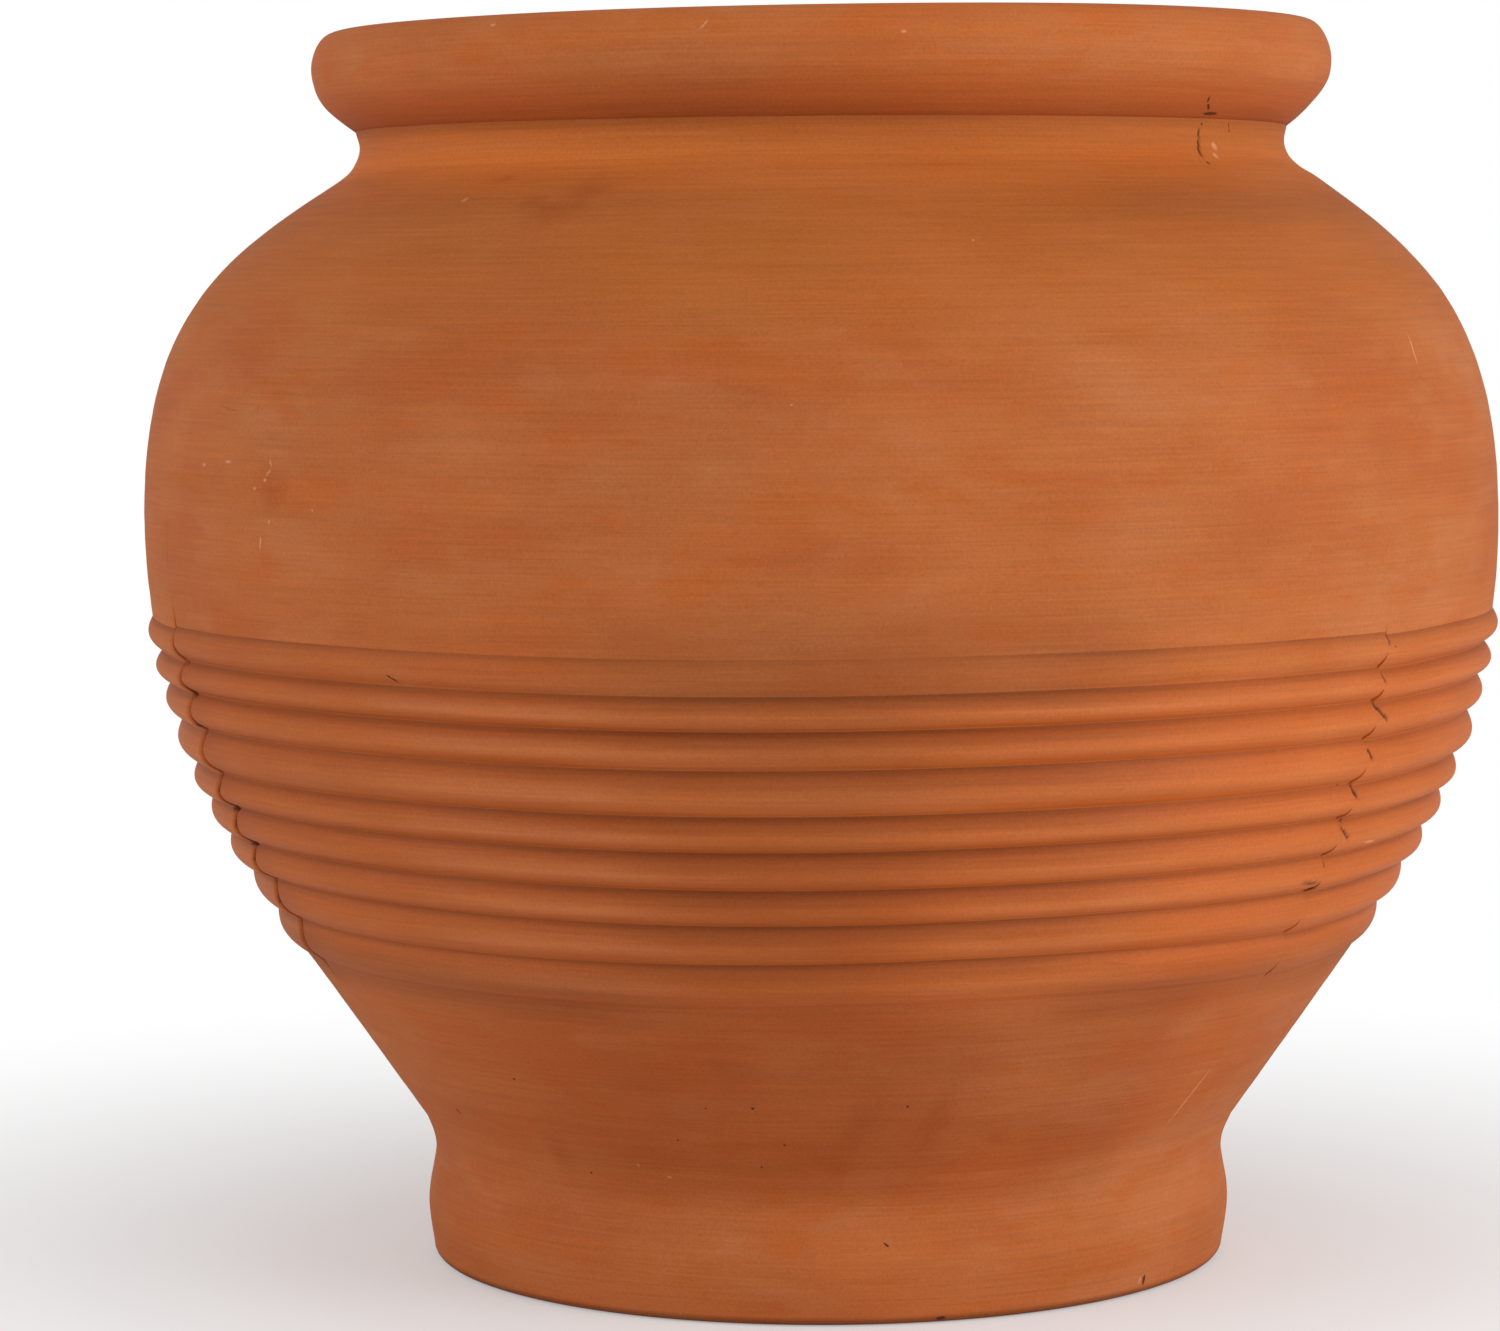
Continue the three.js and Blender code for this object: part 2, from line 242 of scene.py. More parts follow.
def bead_rows(azimuth, drop):
    """Points over all nine beads, with one column for each azimuth.

    A notch lies at its length along the belly's curve, moved by the front's rise and sag, a slow
    wave and the piece's drop. Between two notches, a point is chord(s) + normal * height * arch(s),
    where arch is sqrt(parabola^2 + fillet^2) - fillet, brought to 1 at its top, and parabola is
    4 s (1 - s). The points crowd towards the notches: s = (1 - cos(pi k / steps)) / 2.

    Two numbers go with each point: near, which is 1 in a notch and dies away over NOTCH_REACH, and
    face, from -1 on a bead's lower edge to 1 on its upper one, and 0 off the beads.
    """
    front = ease((np.cos(np.radians(azimuth)) + 0.2) / 1.2)
    lift = FRONT_RISE * front - FRONT_SAG * hump(azimuth, SAG_PLACE, SAG_WIDTH)
    climb = hump(azimuth, LOW_PLACE, LOW_WIDTH)
    notches = BEAD_START + np.concatenate([[0], np.cumsum(BEADS[:, 0])])[:, None] + 0 * azimuth
    for i in range(len(notches)):
        if i < 2:
            notches[i] += LOW_RISE[i] * climb - LOW_BASE[i] * front
        else:
            notches[i] += lift + (LOW_RISE[i] * climb if i < len(LOW_RISE) else 0)
        notches[i] += NOTCH_WANDER * waves(azimuth, 40 + i) - drop
    rubbed = 1 - (1 - TOP_BEAD_LEFT) * hump(azimuth, 0, RUBBED_WIDTH) ** 0.7
    inset = np.full((len(notches), len(azimuth)), NOTCH_DEPTH)
    inset[0] = inset[-1] = 0
    inset[-2] *= 0.5 + 0.5 * rubbed
    r, z = on_belly(notches, inset)
    s = (1 - np.cos(np.pi * np.arange(BEAD_STEPS) / BEAD_STEPS)) / 2
    arch = np.hypot(4 * s * (1 - s), NOTCH_FILLET) - NOTCH_FILLET
    arch /= arch.max()
    rows_r, rows_z, near, face = [], [], [], []
    for i, (_, height) in enumerate(BEADS):
        tall = height * (1 + BEAD_WANDER * waves(azimuth, 60 + i))
        if i == len(BEADS) - 1:
            tall = tall * rubbed
        across_r, across_z = r[i + 1] - r[i], z[i + 1] - z[i]
        length = np.hypot(across_r, across_z)
        out_r, out_z = across_z / length, -across_r / length
        rows_r.append(r[i] + s[:, None] * across_r + arch[:, None] * tall * out_r)
        rows_z.append(z[i] + s[:, None] * across_z + arch[:, None] * tall * out_z)
        edge = np.minimum(s, 1 - s)[:, None] * length / MM
        deep = np.minimum(1, tall / DEEP_BEAD)
        near.append(np.exp(-(edge / NOTCH_REACH) ** 2) * deep)
        face.append((2 * s[:, None] - 1) * deep)
    along = np.linspace(0, 1, PLAIN_STEPS, endpoint=False)[:, None]
    lengths = notches[-1] + (lower_length[-1] - notches[-1]) * along
    rows_r.append(np.interp(lengths, lower_length, lower_belly[:, 0]))
    rows_z.append(np.interp(lengths, lower_length, lower_belly[:, 1]))
    near.append(np.zeros_like(lengths))
    face.append(np.zeros_like(lengths))
    return np.vstack(rows_r), np.vstack(rows_z), np.vstack(near), np.vstack(face)


sample_z = bead_rows(np.array([0.0, 60.0]), 0)[1]
print("beads run from z", round(float(sample_z[0, 1]) / MM), "to",
      round(float(sample_z[-PLAIN_STEPS - 1, 1]) / MM), "mm")

# %% [markdown]
# ## A wall piece as one closed surface
#
# A wall piece is a grid with azimuth one way and the outline the other: up the skin, over the top
# edge, down the hollow side and back under the foot. The rows close on themselves, and each end of
# the piece is closed by one flat face. Columns crowd near the joints, because the steps, nicks and
# cracks there are only a millimetre wide.
#
# The mesh also carries three numbers for the material: how close a point is to a notch, where
# shade is painted; which side of a bead it lies on, for the bead's painted light and shade; and how
# deep it lies in a crack, for the painted shade at its bottom.

# %% Mesh helpers
def make_piece(name, points, faces, attributes=None, sharp_from=50):
    """A mesh object at the origin from arrays, smooth except where faces meet at a sharp angle."""
    mesh = bpy.data.meshes.new(name)
    mesh.from_pydata(points, [], faces)
    mesh.update()
    for key, values in (attributes or {}).items():
        layer = mesh.attributes.new(key, "FLOAT", "POINT")
        layer.data.foreach_set("value", np.ascontiguousarray(values, np.float32))
    mesh.polygons.foreach_set("use_smooth", np.ones(len(mesh.polygons), bool))
    mesh.set_sharp_from_angle(angle=math.radians(sharp_from))
    piece = bpy.data.objects.new(name, mesh)
    bpy.context.collection.objects.link(piece)
    return piece


# the axis of the hand-made jar isn't quite straight: how far it lies to the right at each height
AXIS_HEIGHTS = np.array([0, 34, 49, 79, 104, 144, 184, 219, 254,
                         304, 334, 354, 360, 366, 376, 384, 392, 400, 411]) * MM
AXIS_SHIFTS = np.array([1.1, 1.4, 1.9, 1.95, 1.85, 1.1, 0.8, 0.2, -0.1,
                        -0.1, 0.5, 2.0, 2.6, 1.3, 0.9, 0.5, 1.3, 1.1, 0.6]) * MM


def turn(r, z, azimuth):
    """Carry an outline round the jar's own axis: x = r sin a + the axis' shift, y = -r cos a."""
    angle = np.radians(azimuth)
    shift = np.interp(z, AXIS_HEIGHTS, AXIS_SHIFTS)
    return np.stack([r * np.sin(angle) + shift, -r * np.cos(angle), z + 0 * r], axis=-1)


def grid_faces(rows, columns, loop_columns):
    """Quads of a grid whose rows close on themselves, wound so that they face out of an outline
    that runs anticlockwise; the columns close too where loop_columns is true."""
    j = np.arange(rows)
    i = np.arange(columns if loop_columns else columns - 1)
    j, i = np.meshgrid(j, i, indexing="ij")
    up, along = (j + 1) % rows, (i + 1) % columns
    quads = np.stack([j * columns + i, j * columns + along,
                      up * columns + along, up * columns + i], -1)
    return quads.reshape(-1, 4)


def crowded(first, last, step, edge_steps):
    """Azimuths from first to last at an even step, and extra ones at steps from each end."""
    middle = np.linspace(first, last, int(round((last - first) / step)) + 1)
    keep = (middle > first + edge_steps[-1]) & (middle < last - edge_steps[-1])
    near = np.asarray(edge_steps)
    return np.concatenate([first + near, middle[keep], (last - near)[::-1]])


print("helpers ready")

# %% [markdown]
# ## The joints
#
# Where two pieces of clay met, slip was wiped over the joint. On the belly it vanished under the
# sponge. On the beads it stayed: short cracks opened in the hollows, and bead ends kept their
# edges. The cracks are real dents in the mesh at the edges of both pieces, so they shade by
# themselves, and the crack attribute paints extra shade into their bottoms.

# %% Cracks along the joints
# azimuth, height, half length, tilt from level and depth of each crack, in degrees and millimetres
RIGHT_CRACKS = np.array([
    (50.9, 216.1, 1.2, -54, 0.5),
    (51.1, 214.5, 0.8, -112, 0.4),
    (50.9, 204.6, 0.8, -104, 0.5),
    (51.1, 203.2, 1.1, -43, 0.5),
    (51.8, 192.6, 3.5, -46, 0.9),
    (51.5, 179.3, 1.8, -62, 0.7),
    (51.1, 168.5, 1.0, -70, 1.4),
    (51.4, 167.0, 1.4, -42, 1.4),
    (51.8, 158.9, 1.6, 45, 0.5),
    (51.9, 153.9, 2.8, -46, 0.6),
    (51.1, 144.1, 1.0, -34, 0.4),
    (49.1, 138.7, 4.4, -7, 0.4),
    (50.8, 136.0, 2.0, -1, 0.8),
    (50.3, 371.6, 1.5, -86, 0.5),
    (49.7, 367.3, 3.4, -121, 0.6),
])
LEFT_CRACKS = np.array([
    (-66.6, 206.3, 1.1, -15, 0.4),
    (-67.0, 195.9, 2.2, -9, 0.6),
    (-67.3, 185.2, 2.2, -8, 0.6),
    (-67.3, 165.0, 1.5, 90, 0.9),
    (-67.4, 158.1, 3.0, 2, 0.7),
    (-67.3, 153.4, 1.8, 90, 1.0),
    (-67.4, 146.6, 3.4, 0, 0.7),
    (-67.3, 142.5, 1.7, 90, 1.0),
    (-67.3, 128.2, 1.3, 90, 0.9),
])
CRACK_WIDTH = 0.55                # mm each way


def crack_depth(r, z, azimuth, cracks):
    """How deep the cracks of one joint are at each point, in millimetres.

    The offset from a crack's middle is turned by its tilt into along and across. Its depth there is
    deep * exp(-(across / width)^4) * exp(-(along / half length)^4).
    """
    depth = np.zeros_like(r)
    for place, height, half, tilt, deep in cracks:
        level = np.radians((azimuth - place + 180) % 360 - 180) * r / MM
        rise = z / MM - height
        cosine, sine = math.cos(math.radians(tilt)), math.sin(math.radians(tilt))
        along = level * cosine + rise * sine
        across = rise * cosine - level * sine + 0.2 * np.sin(2.1 * along)
        depth = np.maximum(depth, deep * np.exp(-(across / CRACK_WIDTH) ** 4 - (along / half) ** 4))
    return depth


print(len(RIGHT_CRACKS) + len(LEFT_CRACKS), "cracks along the joints")

# %% [markdown]
# ## The three walls
#
# Besides the beads and joints, clay that was pressed and sponged by hand is never true: the radius
# wanders by half a millimetre, and faint rings from the sponge run round it. Both are added as
# waves in azimuth and height, so that light slides over the belly unevenly.

# %% Walls
EDGE_STEPS = np.concatenate([np.arange(0, 1.65, 0.1), [1.9, 2.2, 2.6, 3.1, 3.7]])    # degrees
BODY_INSET = 0.08 * MM            # the belly stays this far inside the solid's corners
BODY_WANDER = 0.25 * MM
RING_HEIGHT = 0.06 * MM
BEAD_ZONE = np.array([99.4, 114.4, 204.4, 229.4]) * MM    # the step at a joint shows between these
ROUNDING = 0.8 * MM               # the proud piece's edge is rounded over this distance
DIVE = 0.5 * MM                   # and its neighbour's bead ends dip under it this far
COLUMN_STEP = 0.75                # degrees between columns away from the joints
DROP_FADE = 14                    # degrees over which a piece's drop dies away
CONE_STEPS = 22


def wander(azimuth, z):
    """Slow unevenness of the wall: waves round it that shift with height and fade at its ends."""
    level = z / (60 * MM)
    angle = np.radians(azimuth)
    slow = (np.sin(2 * angle + 0.7 * level + 0.4) + np.sin(3 * angle - 0.9 * level + 2.1)
            + 0.7 * np.sin(5 * angle + 1.3 * level + 4.0)) / 2.7
    ends = ease(z / (50 * MM)) * ease((CREASE[1] - z) / (50 * MM))
    return -(BODY_INSET + BODY_WANDER * (1 + slow) / 2) * ends


def sponge_rings(azimuth, z):
    """Faint rings: waves in height of 7 to 19 mm whose phase drifts slowly round the jar."""
    angle = np.radians(azimuth)
    total = np.zeros_like(z)
    for k, (pitch, drift) in enumerate(((7.3, 2), (11.9, 1), (18.7, 3))):
        total = total + np.sin(2 * np.pi * z / (pitch * MM) + 1.3 * np.sin(drift * angle + k))
    return RING_HEIGHT * (total / 3 - 1)


def seam_step(azimuth, z, first, last, step):
    """How far a piece's edge stands proud, or dives where step is 0.

    Proud: step * fade(degrees from the edge) - step * exp(-distance / rounding).
    Diving, at the left joint alone: -dive * exp(-distance / (2 * rounding)).
    """
    zone = (ease((z - BEAD_ZONE[0]) / (BEAD_ZONE[1] - BEAD_ZONE[0]))
            * ease((BEAD_ZONE[3] - z) / (BEAD_ZONE[3] - BEAD_ZONE[2])))
    from_edge = np.minimum(azimuth - first, last - azimuth)
    distance = np.radians(from_edge) * BELLY[0]
    if step:
        return zone * step * (ease(1 - from_edge / SEAM_FADE) - np.exp(-distance / ROUNDING))
    from_left = np.radians(azimuth - first) * BELLY[0]
    dives = DIVE if first == LEFT_SEAM else 0
    return -zone * dives * np.exp(-from_left / (2 * ROUNDING))


def wall_piece(name, node, first, last, step, left_drop, right_drop, cracks):
    """One pressed third of the wall between two azimuths, with the cracks of its joints."""
    azimuth = crowded(first, last, COLUMN_STEP, EDGE_STEPS)
    fade_left = ease(1 - (azimuth - first) / DROP_FADE)
    fade_right = ease(1 - (last - azimuth) / DROP_FADE)
    beads_r, beads_z, notch, face = bead_rows(
        azimuth, left_drop * fade_left + right_drop * fade_right)

    edge_angle = np.linspace(-np.pi / 2, 0, 7)[:, None]
    foot_radius = WAIST_RADIUS + FOOT_HEEL
    edge = np.hstack([foot_radius - BASE_EDGE + BASE_EDGE * np.cos(edge_angle),
                      BASE_EDGE + BASE_EDGE * np.sin(edge_angle)])
    band = smooth_through([
        (foot_radius, BASE_EDGE),
        (WAIST_RADIUS + FOOT_BULGE, BULGE_HEIGHT),
        (WAIST_RADIUS, WAIST_HEIGHT),
        (WAIST_RADIUS + CONE_FLARE, CONE_FOOT_HEIGHT),
    ], 10)[1:-1]
    cone_foot = np.array([WAIST_RADIUS + CONE_FLARE, CONE_FOOT_HEIGHT])
    share = np.linspace(0, 1, CONE_STEPS, endpoint=False)[:, None]
    cone_end = np.array([beads_r[0], beads_z[0]])
    cone_r = cone_foot[0] + (cone_end[0] - cone_foot[0]) * share
    cone_z = cone_foot[1] + (cone_end[1] - cone_foot[1]) * share
    cove = bezier(
        SHOULDER, SHOULDER + 3.6 * MM * lean(-SHOULDER_SLOPE), NECK - 4 * MM * UP, NECK, 10)
    flare = bezier(NECK, NECK + 2 * MM * UP, CREASE - np.array([0.2, 1.5]) * MM, CREASE, 8)
    below = np.vstack([edge, band])
    above = np.vstack([upper_belly, cove[1:], flare[1:]])

    ones = np.ones_like(azimuth)
    r = np.vstack([below[:, :1] * ones, cone_r, beads_r, above[:, :1] * ones])
    z = np.vstack([below[:, 1:] * ones, cone_z, beads_z, above[:, 1:] * ones])
    r = r + wander(azimuth, z) + sponge_rings(azimuth, z) * ease(z / (20 * MM))
    r = r + seam_step(azimuth, z, first, last, step)
    crack = crack_depth(r, z, azimuth, cracks)
    r = r - crack * MM

    hollow = hollow_outline()
    under, over = len(below) + len(share), len(above) + len(hollow)
    r = np.vstack([r, hollow[:, :1] * ones])
    z = np.vstack([z, hollow[:, 1:] * ones])
    crack = np.pad(crack, ((0, len(hollow)), (0, 0)))
    notch = np.pad(notch, ((under, over), (0, 0)))
    face = np.pad(face, ((under, over), (0, 0)))

    rows, columns = r.shape
    faces = grid_faces(rows, columns, False).tolist()
    faces.append([j * columns for j in range(rows)])
    faces.append([j * columns + columns - 1 for j in range(rows)][::-1])
    points = turn(r, z, azimuth).reshape(-1, 3)
    piece = make_piece(name, points, faces, {
        "notch": notch.ravel(),
        "face": face.ravel(),
        "crack": np.clip(crack / 0.5, 0, 1).ravel(),
    })
    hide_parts(node)
    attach(piece, "root")
    print(name, rows, "by", columns, "points")
    return piece


def hollow_outline():
    """The wall's top edge, hollow side and foot, downwards: the body's curves moved in by the wall.

    A point of a curve moves by the wall's thickness along its normal, (-dz, dr) over its length.
    """
    def inwards(curve):
        along = np.gradient(curve, axis=0)
        along /= np.linalg.norm(along, axis=1)[:, None]
        return curve + WALL * np.stack([-along[:, 1], along[:, 0]], axis=1)

    foot_inside = WAIST_RADIUS - WALL
    neck_inside = NECK[0] - WALL
    shoulder_side = inwards(upper_belly)[::-4]
    belly_side = inwards(lower_belly)[::-40]
    cone_side = belly_side[-1]
    slope = (CONE_TOP - np.array([WAIST_RADIUS + CONE_FLARE, CONE_FOOT_HEIGHT]))
    corner_height = cone_side[1] - (cone_side[0] - foot_inside) * slope[1] / slope[0]
    rise = (shoulder_side[0, 0] - neck_inside) / math.tan(SHOULDER_SLOPE)
    corners = [(neck_inside, CREASE[1]), (neck_inside, shoulder_side[0, 1] + rise)]
    feet = [(foot_inside, corner_height), (foot_inside, 0.0)]
    return np.vstack([corners, shoulder_side, belly_side[1:], feet])


walls = [
    wall_piece("pressed_front", "wall_front", LEFT_SEAM, RIGHT_SEAM, 0, 0, 0,
               np.vstack([LEFT_CRACKS, RIGHT_CRACKS])),
    wall_piece("pressed_right", "wall_right", RIGHT_SEAM, BACK_SEAM, 0, RIGHT_DROP, 0,
               RIGHT_CRACKS),
    wall_piece("pressed_left", "wall_left", BACK_SEAM, LEFT_SEAM + 360, SEAM_STEP, 0, LEFT_DROP,
               LEFT_CRACKS),
]

# %% [markdown]
# ## The rim
#
# The rim is one coil, laid on the neck and rolled outwards with wet hands. Its section is three
# cubic curves: the underside swells out of the crease, the crown turns over to the top, and the
# lip falls into the mouth. Rolled clay keeps the marks of the hand, so its height and width wander
# round the mouth, and the left side sits two millimetres lower than the right.

# %% Rim
RIM_WIDEST = np.array([169.8, 398.8]) * MM
RIM_TOP = np.array([162, 411.1]) * MM
RIM_MOUTH = np.array([138.5, 396.7]) * MM
RIM_DIP = 2.3 * MM
RIM_WANDER = 0.35 * MM            # how much its height wanders
RIM_SQUEEZE = 0.5 * MM            # and its width


def rim_outline():
    """The section of the roll, anticlockwise from its inner foot, as radius and height."""
    underside = bezier(CREASE, CREASE + 13.4 * MM * lean(math.radians(54)),
                       RIM_WIDEST - 8.7 * MM * UP, RIM_WIDEST, 26)
    crown = bezier(RIM_WIDEST, RIM_WIDEST + 4.4 * MM * UP,
                   RIM_TOP + np.array([5.1 * MM, 0]), RIM_TOP, 20)
    lip = bezier(RIM_TOP, RIM_TOP - np.array([12.9 * MM, 0]),
                 RIM_MOUTH + 8.6 * MM * UP, RIM_MOUTH, 16)
    foot = np.array([[NECK[0] - WALL, CREASE[1]]])
    fall = RIM_MOUTH + (foot - RIM_MOUTH) * np.linspace(0, 1, 6)[1:-1, None]
    return np.vstack([foot, underside, crown[1:], lip[1:], fall])


def roll_rim():
    """Turn the section round: z falls by lift * (left dip + waves), and r by swell * waves."""
    azimuth = np.arange(0, 360, 0.6)
    outline = rim_outline()
    r = outline[:, :1] + np.zeros_like(azimuth)
    z = outline[:, 1:] + np.zeros_like(azimuth)
    lift = ease((z - CREASE[1]) / (RIM_TOP[1] - CREASE[1]))
    side = np.sin(np.radians(azimuth))
    z = z - lift * (RIM_DIP * (1 - side) / 2 + RIM_WANDER * (1 + waves(azimuth, 5, 6, 2) / 2))
    swell = ease((r - CREASE[0]) / (RIM_WIDEST[0] - CREASE[0]))
    r = r - swell * RIM_SQUEEZE * (1 + waves(azimuth, 9, 7, 2)) / 2
    rows, columns = r.shape
    points = turn(r, z, azimuth).reshape(-1, 3)
    piece = make_piece("rolled_rim", points, grid_faces(rows, columns, True).tolist())
    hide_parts("rim_roll")
    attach(piece, "root")
    print("rim", rows, "by", columns, "points")
    return piece


rim = roll_rim()

# %% [markdown]
# ## Floor and coils inside
#
# Inside, nobody sponged. The floor is a slab patted flat, with its drainage hole pushed through,
# and the coils over the joints were smeared with a thumb, which leaves shallow dents every couple
# of centimetres. The dents are waves along each coil.

# %% Floor and coils
FLOOR = 16 * MM
FLOOR_RADIUS = WAIST_RADIUS - WALL - 0.5 * MM
DRAIN_RADIUS = 12.5 * MM
FLOOR_COIL = 14 * MM
SEAM_COIL_WIDTH = 26 * MM
SEAM_COIL_DEPTH = 6 * MM
COIL_TAIL = 30 * MM               # each end of a coil is smeared out over this length
SLIP = 0.3 * MM
THUMB_PITCH = 21 * MM
THUMB_DEPTH = 1.1 * MM
HAND_DEPTH = 0.5 * MM


def ring_piece(name, node, outline, ripple=None):
    """Turn an anticlockwise outline right round; ripple(r, z, azimuth) moves the points first."""
    azimuth = np.arange(0, 360, 1.0)
    r = outline[:, :1] + np.zeros_like(azimuth)
    z = outline[:, 1:] + np.zeros_like(azimuth)
    if ripple:
        r, z = ripple(r, z, azimuth)
    points = turn(r, z, azimuth).reshape(-1, 3)
    piece = make_piece(name, points, grid_faces(len(outline), len(azimuth), True).tolist())
    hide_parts(node)
    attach(piece, "root")
    return piece


def rounded_hole(height, edge, steps=6):
    """The wall of the drainage hole, downwards, with quarter-round edges."""
    turn_in = np.linspace(0, np.pi / 2, steps)[:, None]
    upper = np.hstack([DRAIN_RADIUS + edge * (1 - np.sin(turn_in)),
                       height - edge * (1 - np.cos(turn_in))])
    lower = np.hstack([DRAIN_RADIUS + edge * (1 - np.cos(turn_in)), edge * (1 - np.sin(turn_in))])
    return np.vstack([upper, lower])


def patted(r, z, azimuth):
    """Shallow dents of the flat hand on the upper face only."""
    top = ease((z - FLOOR / 2) / (FLOOR / 2))
    inside = ease((r - DRAIN_RADIUS - 3 * MM) / (12 * MM)) * ease((FLOOR_RADIUS - r) / (12 * MM))
    x, y = r * np.sin(np.radians(azimuth)), r * np.cos(np.radians(azimuth))
    dents = np.sin(x / (17 * MM) + 1.1) * np.sin(y / (14 * MM) + 0.4)
    return r, z - top * inside * HAND_DEPTH * (1 + dents)


across = np.linspace(FLOOR_RADIUS, DRAIN_RADIUS + 2 * MM, 24)[:, None]
slab_top = np.hstack([across, np.full_like(across, FLOOR)])
slab = ring_piece(
    "patted_floor", "floor_slab",
    np.vstack([[(FLOOR_RADIUS, 0)], slab_top, rounded_hole(FLOOR, 1.5 * MM)]), patted)


def thumbed(r, z, azimuth):
    """The hollowed face of the corner coil, dented by the thumb."""
    reach = (FLOOR_RADIUS - r) / FLOOR_COIL
    face = np.clip(1 - np.abs(reach - 0.35) / 0.35, 0, 1)
    phase = np.radians(azimuth) * FLOOR_RADIUS / THUMB_PITCH * 2 * np.pi
    dent = THUMB_DEPTH * (1 + np.sin(phase)) / 2
    return r + face * dent * 0.7, z - face * dent * 0.7


face = bezier(
    np.array([FLOOR_RADIUS, FLOOR + FLOOR_COIL]),
    np.array([FLOOR_RADIUS - 0.25 * FLOOR_COIL, FLOOR + 0.5 * FLOOR_COIL]),
    np.array([FLOOR_RADIUS - 0.5 * FLOOR_COIL, FLOOR + 0.25 * FLOOR_COIL]),
    np.array([FLOOR_RADIUS - FLOOR_COIL, FLOOR + 1 * MM]), 12)
corner_coil = ring_piece(
    "thumbed_corner", "floor_coil",
    np.vstack([[(FLOOR_RADIUS - FLOOR_COIL, FLOOR), (FLOOR_RADIUS, FLOOR)], face]), thumbed)


def seam_coil(name, node, azimuth):
    """A half-round coil that follows the hollow side of the wall over an upright joint.

    Each section lies across the route: sideways = half cos t, and depth = slip + depth sin t.
    """
    outline = hollow_outline()[1:-1][::-1]
    lengths = length_along(outline)
    foot_length = max(0.0, FLOOR + FLOOR_COIL + 1 * MM - outline[0, 1])
    at = np.linspace(foot_length, lengths[-1], 150)
    route = np.stack([np.interp(at, lengths, outline[:, k]) for k in (0, 1)], axis=1)
    along = np.gradient(route, axis=0)
    along /= np.linalg.norm(along, axis=1)[:, None]
    inwards = np.stack([-along[:, 1], along[:, 0]], axis=1)

    t = np.linspace(0, np.pi, 15)
    phase = at / THUMB_PITCH * 2 * np.pi
    dents = 1 - THUMB_DEPTH / SEAM_COIL_DEPTH * (1 + np.sin(phase)) / 2
    half = SEAM_COIL_WIDTH / 2 * (1 + 0.05 * np.sin(phase + 1))
    dents *= 0.2 + 0.8 * ease(np.minimum(at - at[0], at[-1] - at) / COIL_TAIL)
    sideways = half[:, None] * np.cos(t)
    depth = SLIP + SEAM_COIL_DEPTH * dents[:, None] * np.sin(t)
    r = route[:, :1] + inwards[:, :1] * depth
    z = route[:, 1:] + inwards[:, 1:] * depth
    reach = r - 0.5 * sideways ** 2 / route[:, :1]
    angle = math.radians(azimuth)
    outwards = np.array([math.sin(angle), -math.cos(angle)])
    right = np.array([math.cos(angle), math.sin(angle)])
    plan = reach[..., None] * outwards + sideways[..., None] * right
    points = np.concatenate([plan, z[..., None]], axis=-1)
    rows, columns = points.shape[:2]
    j, i = np.meshgrid(np.arange(rows - 1), np.arange(columns), indexing="ij")
    following = (i + 1) % columns
    quads = np.stack([j * columns + i, j * columns + following,
                      (j + 1) * columns + following, (j + 1) * columns + i], -1)
    quads = quads.reshape(-1, 4).tolist()
    quads.append(list(range(columns))[::-1])
    quads.append([(rows - 1) * columns + k for k in range(columns)])
    piece = make_piece(name, points.reshape(-1, 3), quads)
    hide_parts(node)
    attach(piece, "root")
    return piece


coils = [
    seam_coil("smeared_left", "seam_coil_left", LEFT_SEAM),
    seam_coil("smeared_right", "seam_coil_right", RIGHT_SEAM),
    seam_coil("smeared_back", "seam_coil_back", BACK_SEAM),
]
print("inside pieces:", 2 + len(coils))

# %% [markdown]
# ## Shader arithmetic
#
# Fired clay is one material with many small differences, so its colour is mostly arithmetic: masks
# added, multiplied and blended. Wiring Math nodes by hand hides the formula. The class below wraps
# a node's socket, so that `1 - mask * 0.5` adds the nodes that compute it.

# %% Wires
class Wire:
    """One output of a shader node. Arithmetic on wires adds the Math nodes that work it out."""

    def __init__(self, tree, socket):
        self.tree = tree
        self.socket = socket

    @classmethod
    def node(cls, tree, kind, settings=None, sockets=None, output=0):
        """Add any node: its settings first, then a value or a wire for each named socket."""
        node = tree.nodes.new(kind)
        for name, value in (settings or {}).items():
            setattr(node, name, value)
        for name, value in (sockets or {}).items():
            if isinstance(value, Wire):
                tree.links.new(value.socket, node.inputs[name])
            else:
                node.inputs[name].default_value = value
        return cls(tree, node.outputs[output])

    def math(self, operation, *others):
        """One Math node, on this wire and up to two more wires or numbers."""
        inputs = {place: value for place, value in enumerate((self, *others))}
        return Wire.node(self.tree, "ShaderNodeMath", {"operation": operation}, inputs)

    def __add__(self, other):
        return self.math("ADD", other)

    def __sub__(self, other):
        return self.math("SUBTRACT", other)

    def __mul__(self, other):
        return self.math("MULTIPLY", other)

    def __rsub__(self, other):
        return Wire.node(self.tree, "ShaderNodeMath", {"operation": "SUBTRACT"},
                         {0: other, 1: self})

    __radd__ = __add__
    __rmul__ = __mul__

    def ramp(self, low, high):
        """0 below low, 1 above high and a smooth step between; high may be the lower one."""
        return Wire.node(self.tree, "ShaderNodeMapRange",
                         {"interpolation_type": "SMOOTHSTEP", "clamp": True},
                         {"Value": self, "From Min": low, "From Max": high})

    def between(self, unit, start, full, fading, gone):
        """1 from full to fading and 0 outside start to gone, all four counted in the unit."""
        return self.ramp(start * unit, full * unit) * self.ramp(gone * unit, fading * unit)


def tint(colour_a, colour_b, amount):
    """Blend from one colour to another by a mask."""
    wire = next(w for w in (amount, colour_a, colour_b) if isinstance(w, Wire))
    return Wire.node(wire.tree, "ShaderNodeMix", {"data_type": "RGBA"},
                     {0: amount, 6: colour_a, 7: colour_b}, output=2)


